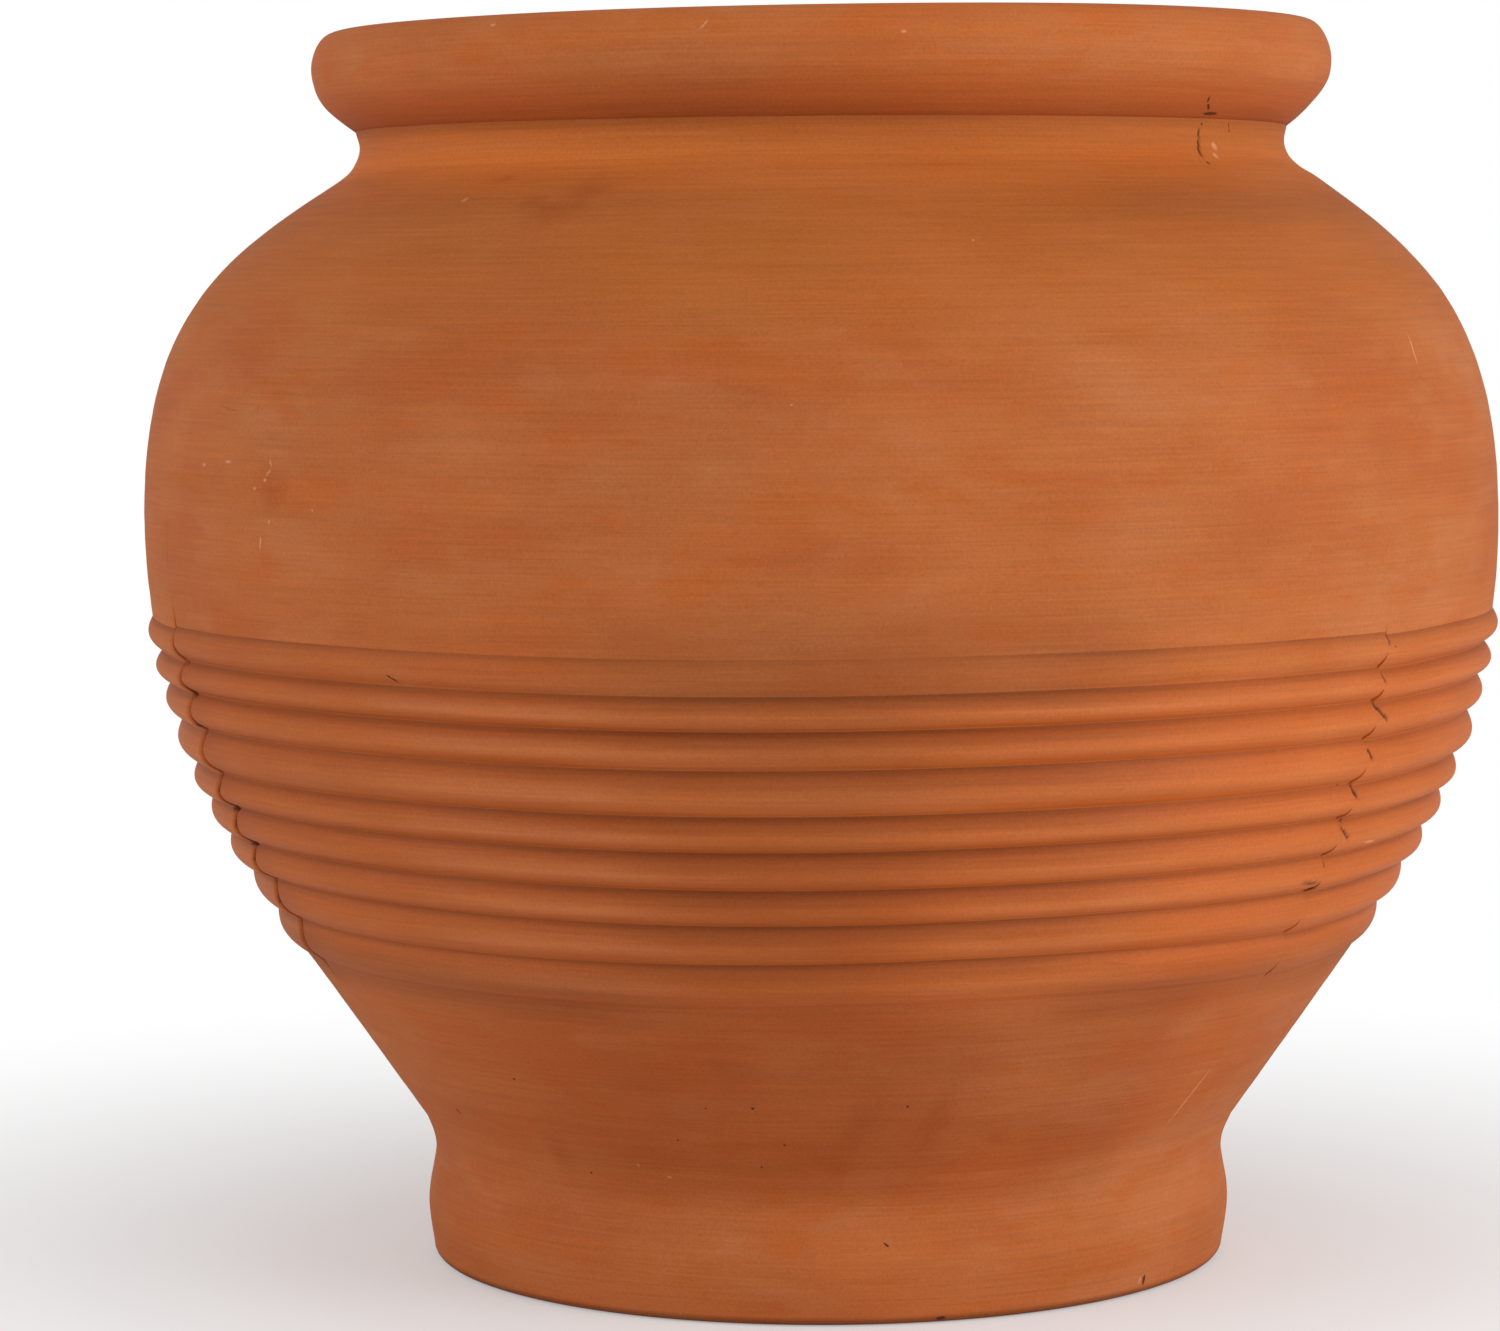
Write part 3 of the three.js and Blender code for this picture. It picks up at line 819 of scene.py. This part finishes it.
def display(red, green, blue):
    """A colour as it shows on screen, 0 to 255, turned into the light it stands for."""
    shares = [value / 255 for value in (red, green, blue)]
    return (*[s / 12.92 if s <= 0.04045 else ((s + 0.055) / 1.055) ** 2.4 for s in shares], 1.0)


print("white is", display(255, 255, 255)[:3])

# %% [markdown]
# ## Marks of handling
#
# A clay jar that has been carried, stood and watered picks up nicks, pale scuffs and dull red
# smears, and the kiln leaves a pale bloom here and a dark shade there. They could be painted into
# an image, but an image stretches over a round jar and has to be kept with it. Here each mark is a
# small ellipsoid that the skin cuts through: a Mapping node carries the point into the ellipsoid's
# own frame, where its length is 1 at the mark's edge. Every mark is one row of a list: where it
# lies, how long and wide it is, and how it leans.

# %% Marks
# azimuth, height, half length, half width and tilt from level, in degrees and millimetres
WALL_NICKS = [
    (-35.4, 208.5, 2.7, 0.45, -32), (-56.1, 59.4, 1.7, 0.5, -75), (-39.3, 76.7, 0.6, 0.5, 0),
    (-33.8, 45.1, 0.6, 0.5, 0), (-8.9, 72.4, 0.7, 0.55, 20), (-14.5, 72.0, 0.5, 0.45, 0),
    (-19.0, 60.0, 0.5, 0.45, 0), (-5.5, 59.6, 0.6, 0.5, 0), (9.0, 72.8, 0.6, 0.5, 30),
    (-8.8, 51.4, 0.5, 0.4, 0), (51.9, 213.0, 0.5, 0.45, 0), (49.0, 170.3, 0.6, 0.5, 0),
    (48.9, 362.3, 0.7, 0.6, 0), (50.7, 374.7, 0.7, 0.6, 0), (56.7, 374.6, 1.1, 0.35, -51),
    (57.0, 372.9, 0.9, 0.35, -92), (49.5, 4.6, 2.3, 0.8, -95), (15.4, 1.5, 2.0, 0.8, 1),
    (7.7, 25.9, 1.4, 0.5, -42),
]
WALL_LINES = [
    (-55.9, 288.3, 9.6, 0.5, -6), (-51.2, 288.2, 2.5, 0.6, -97), (28.5, 118.5, 7.7, 0.35, -5),
    (-67.6, 243.8, 18.0, 0.6, -95),
]
WALL_SCUFFS = [
    (-59.0, 270.5, 1.6, 0.8, 0), (-54.7, 271.9, 2.5, 0.7, -1), (-48.4, 272.1, 1.7, 0.6, -62),
    (-48.6, 269.3, 2.2, 0.6, -142), (-49.0, 267.0, 1.1, 0.8, 20), (-50.4, 264.2, 1.1, 0.7, 0),
    (-48.3, 254.3, 1.0, 0.7, 40), (-49.5, 247.6, 2.9, 0.6, -100), (-42.9, 258.5, 0.6, 0.5, 0),
    (-2.0, 290.9, 0.5, 0.5, 0), (13.6, 338.4, 0.6, 0.5, 0), (53.0, 367.8, 2.0, 1.8, 0),
    (52.0, 364.8, 1.6, 1.3, 30), (-25.9, 49.7, 1.0, 0.4, -62), (-21.7, 46.3, 1.4, 0.4, -10),
    (50.4, 63.8, 15.0, 0.6, -108), (58.9, 303.8, 6.7, 0.7, -96), (57.0, 149.4, 5.6, 0.6, -4),
    (-39.4, 352.1, 1.6, 0.8, 20), (48.6, 4.8, 1.6, 0.8, -95),
]
WALL_SMEARS = [
    (-27.5, 348.0, 17.0, 6.0, -1), (-25.0, 353.0, 15.0, 10.0, 50), (-37.0, 358.4, 7.0, 3.0, 18),
    (-30.0, 351.0, 9.0, 4.0, 14), (-48.2, 265.1, 13.0, 11.0, 0), (3.5, 66.0, 27.0, 10.0, -107),
    (0.9, 50.7, 14.0, 9.0, -90), (12.6, 66.2, 22.0, 7.0, -107), (20.8, 60.0, 8.0, 5.0, 0),
    (-37.9, 50.0, 12.0, 9.0, -100), (-11.2, 86.5, 14.0, 5.0, 2),
]
WALL_BLOOMS = [(24.6, 250.2, 26.0, 20.0, 0)]
WALL_SHADES = [(34.6, 246.0, 24.0, 16.0, 0)]
RIM_NICKS = [
    (48.5, 382.0, 1.5, 0.45, -53), (49.6, 379.8, 2.5, 0.5, -28), (51.2, 377.8, 4.9, 0.6, 0),
]
RIM_SCUFFS = [(-36.8, 405.4, 1.4, 0.6, 0), (-11.9, 403.6, 2.3, 0.5, 52), (8.5, 400.9, 1.2, 0.6, 0)]
JOINT_LEFT = math.radians(LEFT_SEAM)
MARK_DEPTH = 9 * MM               # least half depth of the ellipsoid, so that it reaches the skin

plain_skin = np.vstack([
    [(WAIST_RADIUS, 0.0), (WAIST_RADIUS, WAIST_HEIGHT)], lower_belly[::20], upper_belly,
    [NECK, CREASE], rim_outline()[1:47]])


def skin_point(azimuth, height):
    """A point of the plain skin: its radius at that height, turned round the axis."""
    r = np.interp(height, plain_skin[:, 1], plain_skin[:, 0])
    return turn(np.array([r]), np.array([height]), np.array([azimuth]))[0]


def place_on_jar(tree):
    """Object coordinates as they are, and the azimuth in radians and height from them."""
    position = Wire.node(tree, "ShaderNodeTexCoord", output=3)
    split = tree.nodes.new("ShaderNodeSeparateXYZ")
    tree.links.new(position.socket, split.inputs[0])
    x, y, z = (Wire(tree, socket) for socket in split.outputs)
    return position, x.math("ARCTAN2", y * -1), z


def stretched_noise(tree, position, across, upright, detail=2.0, roughness=0.5, shift=0.0):
    """Noise whose grains are `across` long sideways and `upright` high, in metres."""
    scaled = Wire.node(tree, "ShaderNodeMapping", None, {
        "Vector": position,
        "Location": (shift, shift * 0.7, shift * 1.3),
        "Scale": (1 / across, 1 / across, 1 / upright),
    })
    return Wire.node(tree, "ShaderNodeTexNoise", None, {
        "Vector": scaled, "Scale": 1.0, "Detail": detail, "Roughness": roughness})


def ragged(tree, position, reach, grain):
    """The position moved about by coloured noise, up to half the reach each way."""
    noise = Wire.node(tree, "ShaderNodeTexNoise", None,
                      {"Vector": position, "Scale": 1 / grain, "Detail": 2.0}, output=1)
    centred = Wire.node(tree, "ShaderNodeVectorMath", {"operation": "SUBTRACT"},
                        {0: noise, 1: (0.5, 0.5, 0.5)})
    moved = Wire.node(tree, "ShaderNodeVectorMath", {"operation": "SCALE"},
                      {0: centred, "Scale": reach})
    return Wire.node(tree, "ShaderNodeVectorMath", {"operation": "ADD"}, {0: position, 1: moved})


def marked(tree, position, marks, core):
    """A mask of all marks of one list: 0 outside, rising smoothly to 1 at `core` of each radius."""
    mask = None
    for azimuth, height, half_length, half_width, tilt in marks:
        inside = Wire.node(tree, "ShaderNodeMapping", {"vector_type": "TEXTURE"}, {
            "Vector": position,
            "Location": tuple(skin_point(azimuth, height * MM)),
            "Rotation": (0, -math.radians(tilt), math.radians(azimuth)),
            "Scale": (half_length * MM, max(MARK_DEPTH, 1.2 * half_length * MM), half_width * MM),
        })
        away = Wire.node(tree, "ShaderNodeVectorMath", {"operation": "LENGTH"},
                         {0: inside}, output=1)
        mark = away.ramp(1.0, core)
        mask = mark if mask is None else mask.math("MAXIMUM", mark)
    return mask


print(sum(map(len, (WALL_NICKS, WALL_LINES, WALL_SCUFFS, WALL_SMEARS, WALL_BLOOMS, WALL_SHADES,
                    RIM_NICKS, RIM_SCUFFS))), "marks of handling")

# %% [markdown]
# ## Sponged clay
#
# The wall is wiped with a wet sponge while the jar turns. That leaves lines less than a millimetre
# apart, grains of grog in between, and broad soft patches where the clay was wetter or the kiln
# hotter. All of them are noise in three dimensions: the lines are squeezed in height and stretched
# along the other two, so they run round the jar with no seam anywhere. Hue and brightness vary
# apart, because in fired clay the redder places aren't always the darker ones.
#
# The clay is matt but not dead: wiping draws the finest clay to the surface, and that shines
# softly where the sponge pressed. So roughness is high and dips a little with the broad patches.

# %% Sponged clay material
# Some of these colours paint light and shade: the crease, crack and foot shades, the ridge
# highlight, and the shaded and sheened uses of the deep, dusty and baked clay.
CLAY = display(173, 95, 46)
CLAY_DEEP_AND_SHADE = display(169, 87, 38)
CLAY_PALE = display(176, 104, 59)
CLAY_AMBER = display(172, 93, 34)
CLAY_DUST_AND_SHEEN = display(182, 104, 58)
CLAY_BAKED_AND_SHADE = display(146, 63, 15)
CLAY_RUDDY = display(173, 84, 25)
CREASE_SHADE = display(106, 46, 6)
RIDGE_HIGHLIGHT = display(206, 128, 82)
CRACK_SHADE = display(52, 20, 9)
SCUFF_PALE = display(214, 158, 118)
FOOT_SHADOW = display(92, 46, 24)
SHEEN = 0.18                      # how strongly the fine clay at the surface shines


def brighter(colour, factor):
    """A colour scaled by a mask: every channel times the factor."""
    return Wire.node(factor.tree, "ShaderNodeVectorMath", {"operation": "SCALE"},
                     {0: colour, "Scale": factor})


def clay_skin(tree, position):
    """Sponged terracotta before any marks: its colour, brightness, relief and roughness."""
    lines = stretched_noise(tree, position, 45 * MM, 0.75 * MM, 2.0, 0.6)
    bands = stretched_noise(tree, position, 110 * MM, 8 * MM, 2.0, shift=3.0)
    patch = stretched_noise(tree, position, 95 * MM, 42 * MM, 3.0, 0.55, shift=11.0)
    cloud = stretched_noise(tree, position, 70 * MM, 34 * MM, 4.0, 0.55, shift=17.0)
    wisp = stretched_noise(tree, position, 34 * MM, 13 * MM, 3.0, 0.6, shift=23.0)
    grain = stretched_noise(tree, position, 0.9 * MM, 0.9 * MM, 2.0, 0.7, shift=5.0)
    colour = tint(CLAY, CLAY_DEEP_AND_SHADE, patch.ramp(0.48, 0.66))
    colour = tint(colour, CLAY_PALE, patch.ramp(0.5, 0.33) * 0.8)
    colour = tint(colour, CLAY_RUDDY, wisp.ramp(0.5, 0.68) * 0.45)
    colour = tint(colour, CLAY_PALE, wisp.ramp(0.48, 0.3) * 0.4)
    light = (1 + (grain - 0.5) * 0.42 + (lines - 0.5) * 0.34 + (bands - 0.5) * 0.1
             + (cloud - 0.5) * 0.2)
    relief = lines * 0.45 + grain * 0.45 + bands * 0.1
    rough = 0.8 - patch.ramp(0.4, 0.65) * 0.1
    return colour, light, relief, rough


def finish_clay(tree, colour, light, relief, rough, dents):
    """Put colour, roughness and relief on the shader, with dents pressed deeper than the relief."""
    shader = tree.nodes["Principled BSDF"]
    shader.inputs["Specular IOR Level"].default_value = SHEEN
    tree.links.new(brighter(colour, light).socket, shader.inputs["Base Color"])
    tree.links.new(rough.socket, shader.inputs["Roughness"])
    bump = Wire.node(tree, "ShaderNodeBump", None,
                     {"Strength": 0.35, "Distance": 0.25 * MM, "Height": relief - dents * 3})
    tree.links.new(bump.socket, shader.inputs["Normal"])


def new_material(name):
    """A material with its nodes on, and its node tree."""
    material = bpy.data.materials.new(name)
    material.use_nodes = True
    return material, material.node_tree


print("mid clay is", [round(value, 3) for value in CLAY[:3]])

# %% [markdown]
# ## Clay of the walls
#
# Much of the wall's light and shade is painted into its colour. The neck is brightened
# with painted light, and the bottom edge of the foot band carries a painted contact shadow.
# The cone under the beads is darker in front, partly darker clay and partly painted shade.
# On a bead, the upper half is painted in shade and redder, and the lower half painted lighter
# and paler, as if lit from below. The bead's own side is the `face` attribute, so the tint
# follows every bead however it bends.

# %% Wall material
DEGREE = math.radians(1)


def wall_clay():
    """Sponged clay with the tints of its zones, beads, joints and marks, and painted light and
    shade.
    """
    material, tree = new_material("sponged_wall_clay")
    position, azimuth, height = place_on_jar(tree)
    colour, light, relief, rough = clay_skin(tree, position)
    notch, face, crack = (
        Wire.node(tree, "ShaderNodeAttribute", {"attribute_name": name}, output=2)
        for name in ("notch", "face", "crack"))

    in_front = azimuth.between(DEGREE, -30, -8, 16, 36)
    aside = azimuth.math("ABSOLUTE")
    not_behind = aside.ramp(150 * DEGREE, 110 * DEGREE)
    on_beads = height.between(MM, 102, 108, 203, 213)
    upper, lower = face.ramp(0.0, 0.5), face.ramp(-0.4, -0.8)
    ridge = face.between(1, -0.6, -0.15, 0.0, 0.4) * on_beads
    rubbed = aside.between(DEGREE, 4, 16, 24, 42)
    high_ridge = (on_beads * face.between(1, -0.35, 0.0, 0.35, 0.65)
                  * azimuth.between(DEGREE, -42, -30, -20, -12))
    # Painted shade on each bead's upper half, redder and darker, strongest in front; painted light
    # and sheen on its lower half, as lit from below; a little painted shade on the crest in front.
    colour = tint(colour, CLAY_DEEP_AND_SHADE, upper * 0.5)
    colour = tint(colour, CLAY_DUST_AND_SHEEN, face.ramp(0.1, -0.4) * 0.2)
    # Painted highlight along each bead's crest, a little to each side of the front, and higher up
    # the bead on the left.
    colour = tint(colour, RIDGE_HIGHLIGHT, ridge * rubbed * 0.26 + high_ridge * 0.3)
    light = light * (1 + lower * 0.12 - ridge * in_front * 0.08 - upper * (0.04 + in_front * 0.22))

    neck = height.between(MM, 350, 360, 365, 371)
    crease = height.ramp(372.5 * MM, 376 * MM)
    cone = height.between(MM, 31, 44, 104, 119)
    baked_and_shaded = azimuth.between(DEGREE, -60, -20, 9, 34)
    above_beads = height.between(MM, 202, 208, 216, 240)
    beads = height.between(MM, 96, 116, 196, 232)
    cap = azimuth.ramp(JOINT_LEFT - 0.002, JOINT_LEFT - 0.012) * beads * not_behind
    step_shadow = azimuth.between(
        1, JOINT_LEFT - 0.004, JOINT_LEFT, JOINT_LEFT + 0.01, JOINT_LEFT + 0.14) * beads
    shoulder = height.ramp(296 * MM, 335 * MM)
    neck_left = height.between(MM, 357, 364, 371, 375) * azimuth.ramp(0, -24 * DEGREE) * not_behind
    under_neck = (height.between(MM, 336, 350, 357, 362)
                  * azimuth.ramp(12 * DEGREE, 36 * DEGREE) * not_behind)
    bright_side = azimuth.ramp(0, 15 * DEGREE) * not_behind
    under_beads = height.between(MM, 97, 105, 113, 121) * not_behind * (
        azimuth.ramp(-8 * DEGREE, -26 * DEGREE) + azimuth.ramp(16 * DEGREE, 30 * DEGREE))
    on_right = azimuth.between(DEGREE, 20, 30, 37, 46)
    # Painted light and shade in the brightness: painted light on the neck, more on its left, and on
    # the beads of the right side; painted shade under the rim's crease and under the lowest beads.
    # Darker too: the shoulder just under the neck on the right, a band above the beads in front,
    # and the cone in front and on the right, partly darker clay and partly painted shade.
    light = light * (1 + neck * 0.2 + neck_left * 0.22 - crease * 0.16 - under_neck * 0.12
                     - cone * (baked_and_shaded * 0.04 + on_right * 0.1) - above_beads * in_front * 0.2
                     - under_beads * 0.2 + beads * bright_side * 0.16)
    colour = tint(colour, CLAY_AMBER, shoulder * 0.65)
    colour = tint(colour, CLAY_RUDDY, beads * 0.45)
    # The cone is redder and darker in front: partly darker clay, partly painted shade.
    colour = tint(colour, CLAY_BAKED_AND_SHADE, cone * baked_and_shaded * 0.36)
    colour = tint(colour, CLAY_DUST_AND_SHEEN, cap * 0.6)
    # Painted shadow of the left piece's proud step on the front piece's bead ends.
    colour = tint(colour, CLAY_BAKED_AND_SHADE, step_shadow * 0.35)

    near, wide = ragged(tree, position, 0.9 * MM, 0.8 * MM), ragged(tree, position, 9 * MM, 9 * MM)
    nicks = marked(tree, near, WALL_NICKS, 0.55)
    colour = tint(colour, CLAY_BAKED_AND_SHADE, marked(tree, wide, WALL_SMEARS, 0.0) * 0.35)
    colour = tint(colour, CLAY_BAKED_AND_SHADE, marked(tree, wide, WALL_SHADES, 0.2) * 0.2)
    colour = tint(colour, CLAY_PALE, marked(tree, wide, WALL_BLOOMS, 0.0) * 0.5)
    colour = tint(colour, CLAY_BAKED_AND_SHADE, marked(tree, near, WALL_LINES, 0.2) * 0.45)
    colour = tint(colour, SCUFF_PALE, marked(tree, near, WALL_SCUFFS, 0.35) * 0.45)
    # Painted shade in the notches between beads, deeper on their upper halves.
    colour = tint(colour, CREASE_SHADE, notch * (0.3 + upper * 0.2))
    # Painted contact shadow along the foot's bottom edge.
    colour = tint(colour, FOOT_SHADOW, height.ramp(3.4 * MM, 1.2 * MM) * 0.55)
    # Painted shade in the bottoms of cracks and nicks.
    colour = tint(colour, CRACK_SHADE, crack.math("MAXIMUM", nicks) * 0.85)
    finish_clay(tree, colour, light, relief, rough - beads * 0.14, nicks)
    return material


wall_paint = wall_clay()
for piece in walls:
    piece.data.materials.append(wall_paint)
print("wall clay has", len(wall_paint.node_tree.nodes), "nodes")

# %% [markdown]
# ## Clay of the rim
#
# The roll is the same clay with the same sponge lines, a little lighter overall. Its underside is
# painted in shade: a deeper red, and darker still where it meets the crease.

# %% Rim material
def rim_clay():
    """Sponged clay, painted in shade and redder under the roll, with the rim's own marks."""
    material, tree = new_material("sponged_rim_clay")
    position, azimuth, height = place_on_jar(tree)
    colour, light, relief, rough = clay_skin(tree, position)
    # Painted shade under the roll, in a deeper red.
    under = height.ramp(394 * MM, 383 * MM)
    colour = tint(colour, CLAY_DEEP_AND_SHADE, under * 0.8)
    middle = azimuth.between(DEGREE, -34, -16, 2, 20) * height.ramp(402 * MM, 397 * MM)
    # Painted shade where the roll meets the crease; the whole roll is a little lighter, and the
    # front of its top a little darker.
    light = light * (1.09 - height.ramp(383 * MM, 377.5 * MM) * 0.16 - middle * 0.1)
    near = ragged(tree, position, 0.9 * MM, 0.8 * MM)
    nicks = marked(tree, near, RIM_NICKS, 0.55)
    colour = tint(colour, SCUFF_PALE, marked(tree, near, RIM_SCUFFS, 0.35) * 0.45)
    # Painted shade in the rim's nicks.
    colour = tint(colour, CRACK_SHADE, nicks * 0.8)
    finish_clay(tree, colour, light, relief, rough, nicks)
    return material


rim_paint = rim_clay()
rim.data.materials.append(rim_paint)
print("rim clay has", len(rim_paint.node_tree.nodes), "nodes")

# %% [markdown]
# ## Clay that nobody sponged
#
# The inside keeps the plain face of the clay: coarser, a little lighter where it is dry, and
# blotched. It needs no lines, only grains and broad patches.

# %% Inside clay
def thumbed_clay(name, dry):
    """Unsponged terracotta: grains and patches; dry is how much pale clay it shows."""
    material, tree = new_material(name)
    shader = tree.nodes["Principled BSDF"]
    shader.inputs["Specular IOR Level"].default_value = SHEEN
    position = place_on_jar(tree)[0]
    patch = stretched_noise(tree, position, 40 * MM, 40 * MM, 3.0, 0.6)
    grain = stretched_noise(tree, position, 1.6 * MM, 1.6 * MM, 3.0, 0.6, shift=2.0)
    colour = tint(CLAY, CLAY_DEEP_AND_SHADE, patch.ramp(0.42, 0.65) * 0.8)
    colour = tint(colour, CLAY_DUST_AND_SHEEN, grain.ramp(0.5, 0.7) * dry)
    tree.links.new(colour.socket, shader.inputs["Base Color"])
    tree.links.new((0.92 - grain * 0.1).socket, shader.inputs["Roughness"])
    bump = Wire.node(tree, "ShaderNodeBump", None,
                     {"Strength": 0.5, "Distance": 0.5 * MM, "Height": grain * 0.7 + patch * 0.3})
    tree.links.new(bump.socket, shader.inputs["Normal"])
    return material


floor_clay = thumbed_clay("floor_clay", 0.35)
coil_clay = thumbed_clay("coil_clay", 0.25)
slab.data.materials.append(floor_clay)
for piece in [corner_coil, *coils]:
    piece.data.materials.append(coil_clay)
print("inside clay ready")

# %% [markdown]
# ## Stage and light
#
# The jar stands on a pale floor under even studio light: a white surround gives most of it, and
# two large soft lamps give the rest, the stronger one on the right. Two weak ones lie low at the
# sides, as white boards on the table would, and light the beads and the rim from below. The white
# behind the jar is what the camera alone sees of the surround and the floor, so it adds no light.

# %% Stage
FLOOR_REACH = 12.0                # metres from the jar to each edge of the floor
FLOOR_CLEARANCE = 0.2 * MM        # the floor lies this far under the jar

floor_mesh = bpy.data.meshes.new("studio_floor")
floor_mesh.from_pydata(
    [(x * FLOOR_REACH, y * FLOOR_REACH, 0) for x, y in ((-1, -1), (1, -1), (1, 1), (-1, 1))],
    [], [(0, 1, 2, 3)])
studio_floor = bpy.data.objects.new("studio_floor", floor_mesh)
studio_floor.location.z = -FLOOR_CLEARANCE
bpy.context.collection.objects.link(studio_floor)

FLOOR_NEAR, FLOOR_FAR = 0.14, 0.6  # the floor fades to white for the camera between these radii
FLOOR_SHADOW = 0.7                # how much of its shadow shows at the foot

floor_paint, floor_tree = new_material("studio_floor_paint")
paint = floor_tree.nodes["Principled BSDF"]
paint.inputs["Base Color"].default_value = (0.86, 0.86, 0.86, 1)
paint.inputs["Roughness"].default_value = 0.9
paint.inputs["Specular IOR Level"].default_value = 0.1
from_jar = Wire.node(floor_tree, "ShaderNodeVectorMath", {"operation": "LENGTH"},
                     {0: Wire.node(floor_tree, "ShaderNodeTexCoord", output=3)}, output=1)
by_camera = Wire.node(floor_tree, "ShaderNodeLightPath")
white = Wire.node(floor_tree, "ShaderNodeEmission", None, {"Color": (1, 1, 1, 1), "Strength": 1.0})
fading = Wire.node(floor_tree, "ShaderNodeMixShader", None, {
    0: (1 - from_jar.ramp(FLOOR_FAR, FLOOR_NEAR) * FLOOR_SHADOW) * by_camera,
    1: Wire(floor_tree, paint.outputs[0]), 2: white})
floor_tree.links.new(fading.socket, floor_tree.nodes["Material Output"].inputs["Surface"])
floor_paint.cycles.emission_sampling = "NONE"
floor_mesh.materials.append(floor_paint)

SURROUND = 0.66                   # strength of the white surround
LAMP_TARGET = 0.2                 # metres up the jar's axis that the lamps aim at

world = bpy.data.worlds.new("studio")
bpy.context.scene.world = world
world.use_nodes = True
tree = world.node_tree
path = tree.nodes.new("ShaderNodeLightPath")
seen = Wire(tree, path.outputs["Is Camera Ray"])
sky = tree.nodes["Background"]
tree.links.new((SURROUND + seen * (1 - SURROUND)).socket, sky.inputs["Strength"])
sky.inputs["Color"].default_value = (1, 1, 1, 1)


def soft_lamp(name, azimuth, elevation, distance, size, watts, tall=None):
    """An area lamp at an azimuth and elevation round the jar's middle, aimed at it."""
    lamp = bpy.data.lights.new(name, "AREA")
    lamp.shape = "RECTANGLE"
    lamp.size, lamp.size_y = size, tall or size
    lamp.energy = watts
    holder = bpy.data.objects.new(name, lamp)
    target = Vector((0, 0, LAMP_TARGET))
    turn_by, rise_by = math.radians(azimuth), math.radians(elevation)
    away = Vector((math.sin(turn_by) * math.cos(rise_by), -math.cos(turn_by) * math.cos(rise_by),
                   math.sin(rise_by)))
    holder.location = target + away * distance
    holder.rotation_euler = away.to_track_quat("Z", "Y").to_euler()
    holder.visible_camera = False
    bpy.context.collection.objects.link(holder)
    return holder


soft_lamp("right_lamp", 59, 20, 2.2, 1.4, 21)
soft_lamp("left_lamp", -67, 18, 2.2, 1.4, 10.5)
soft_lamp("low_right_lamp", 50, -9, 0.72, 0.7, 0.55, 0.16)
soft_lamp("low_left_lamp", -50, -9, 0.72, 0.5, 0.22, 0.16)

scene = bpy.context.scene
scene.view_settings.view_transform = "Standard"
print("stage and lamps ready")
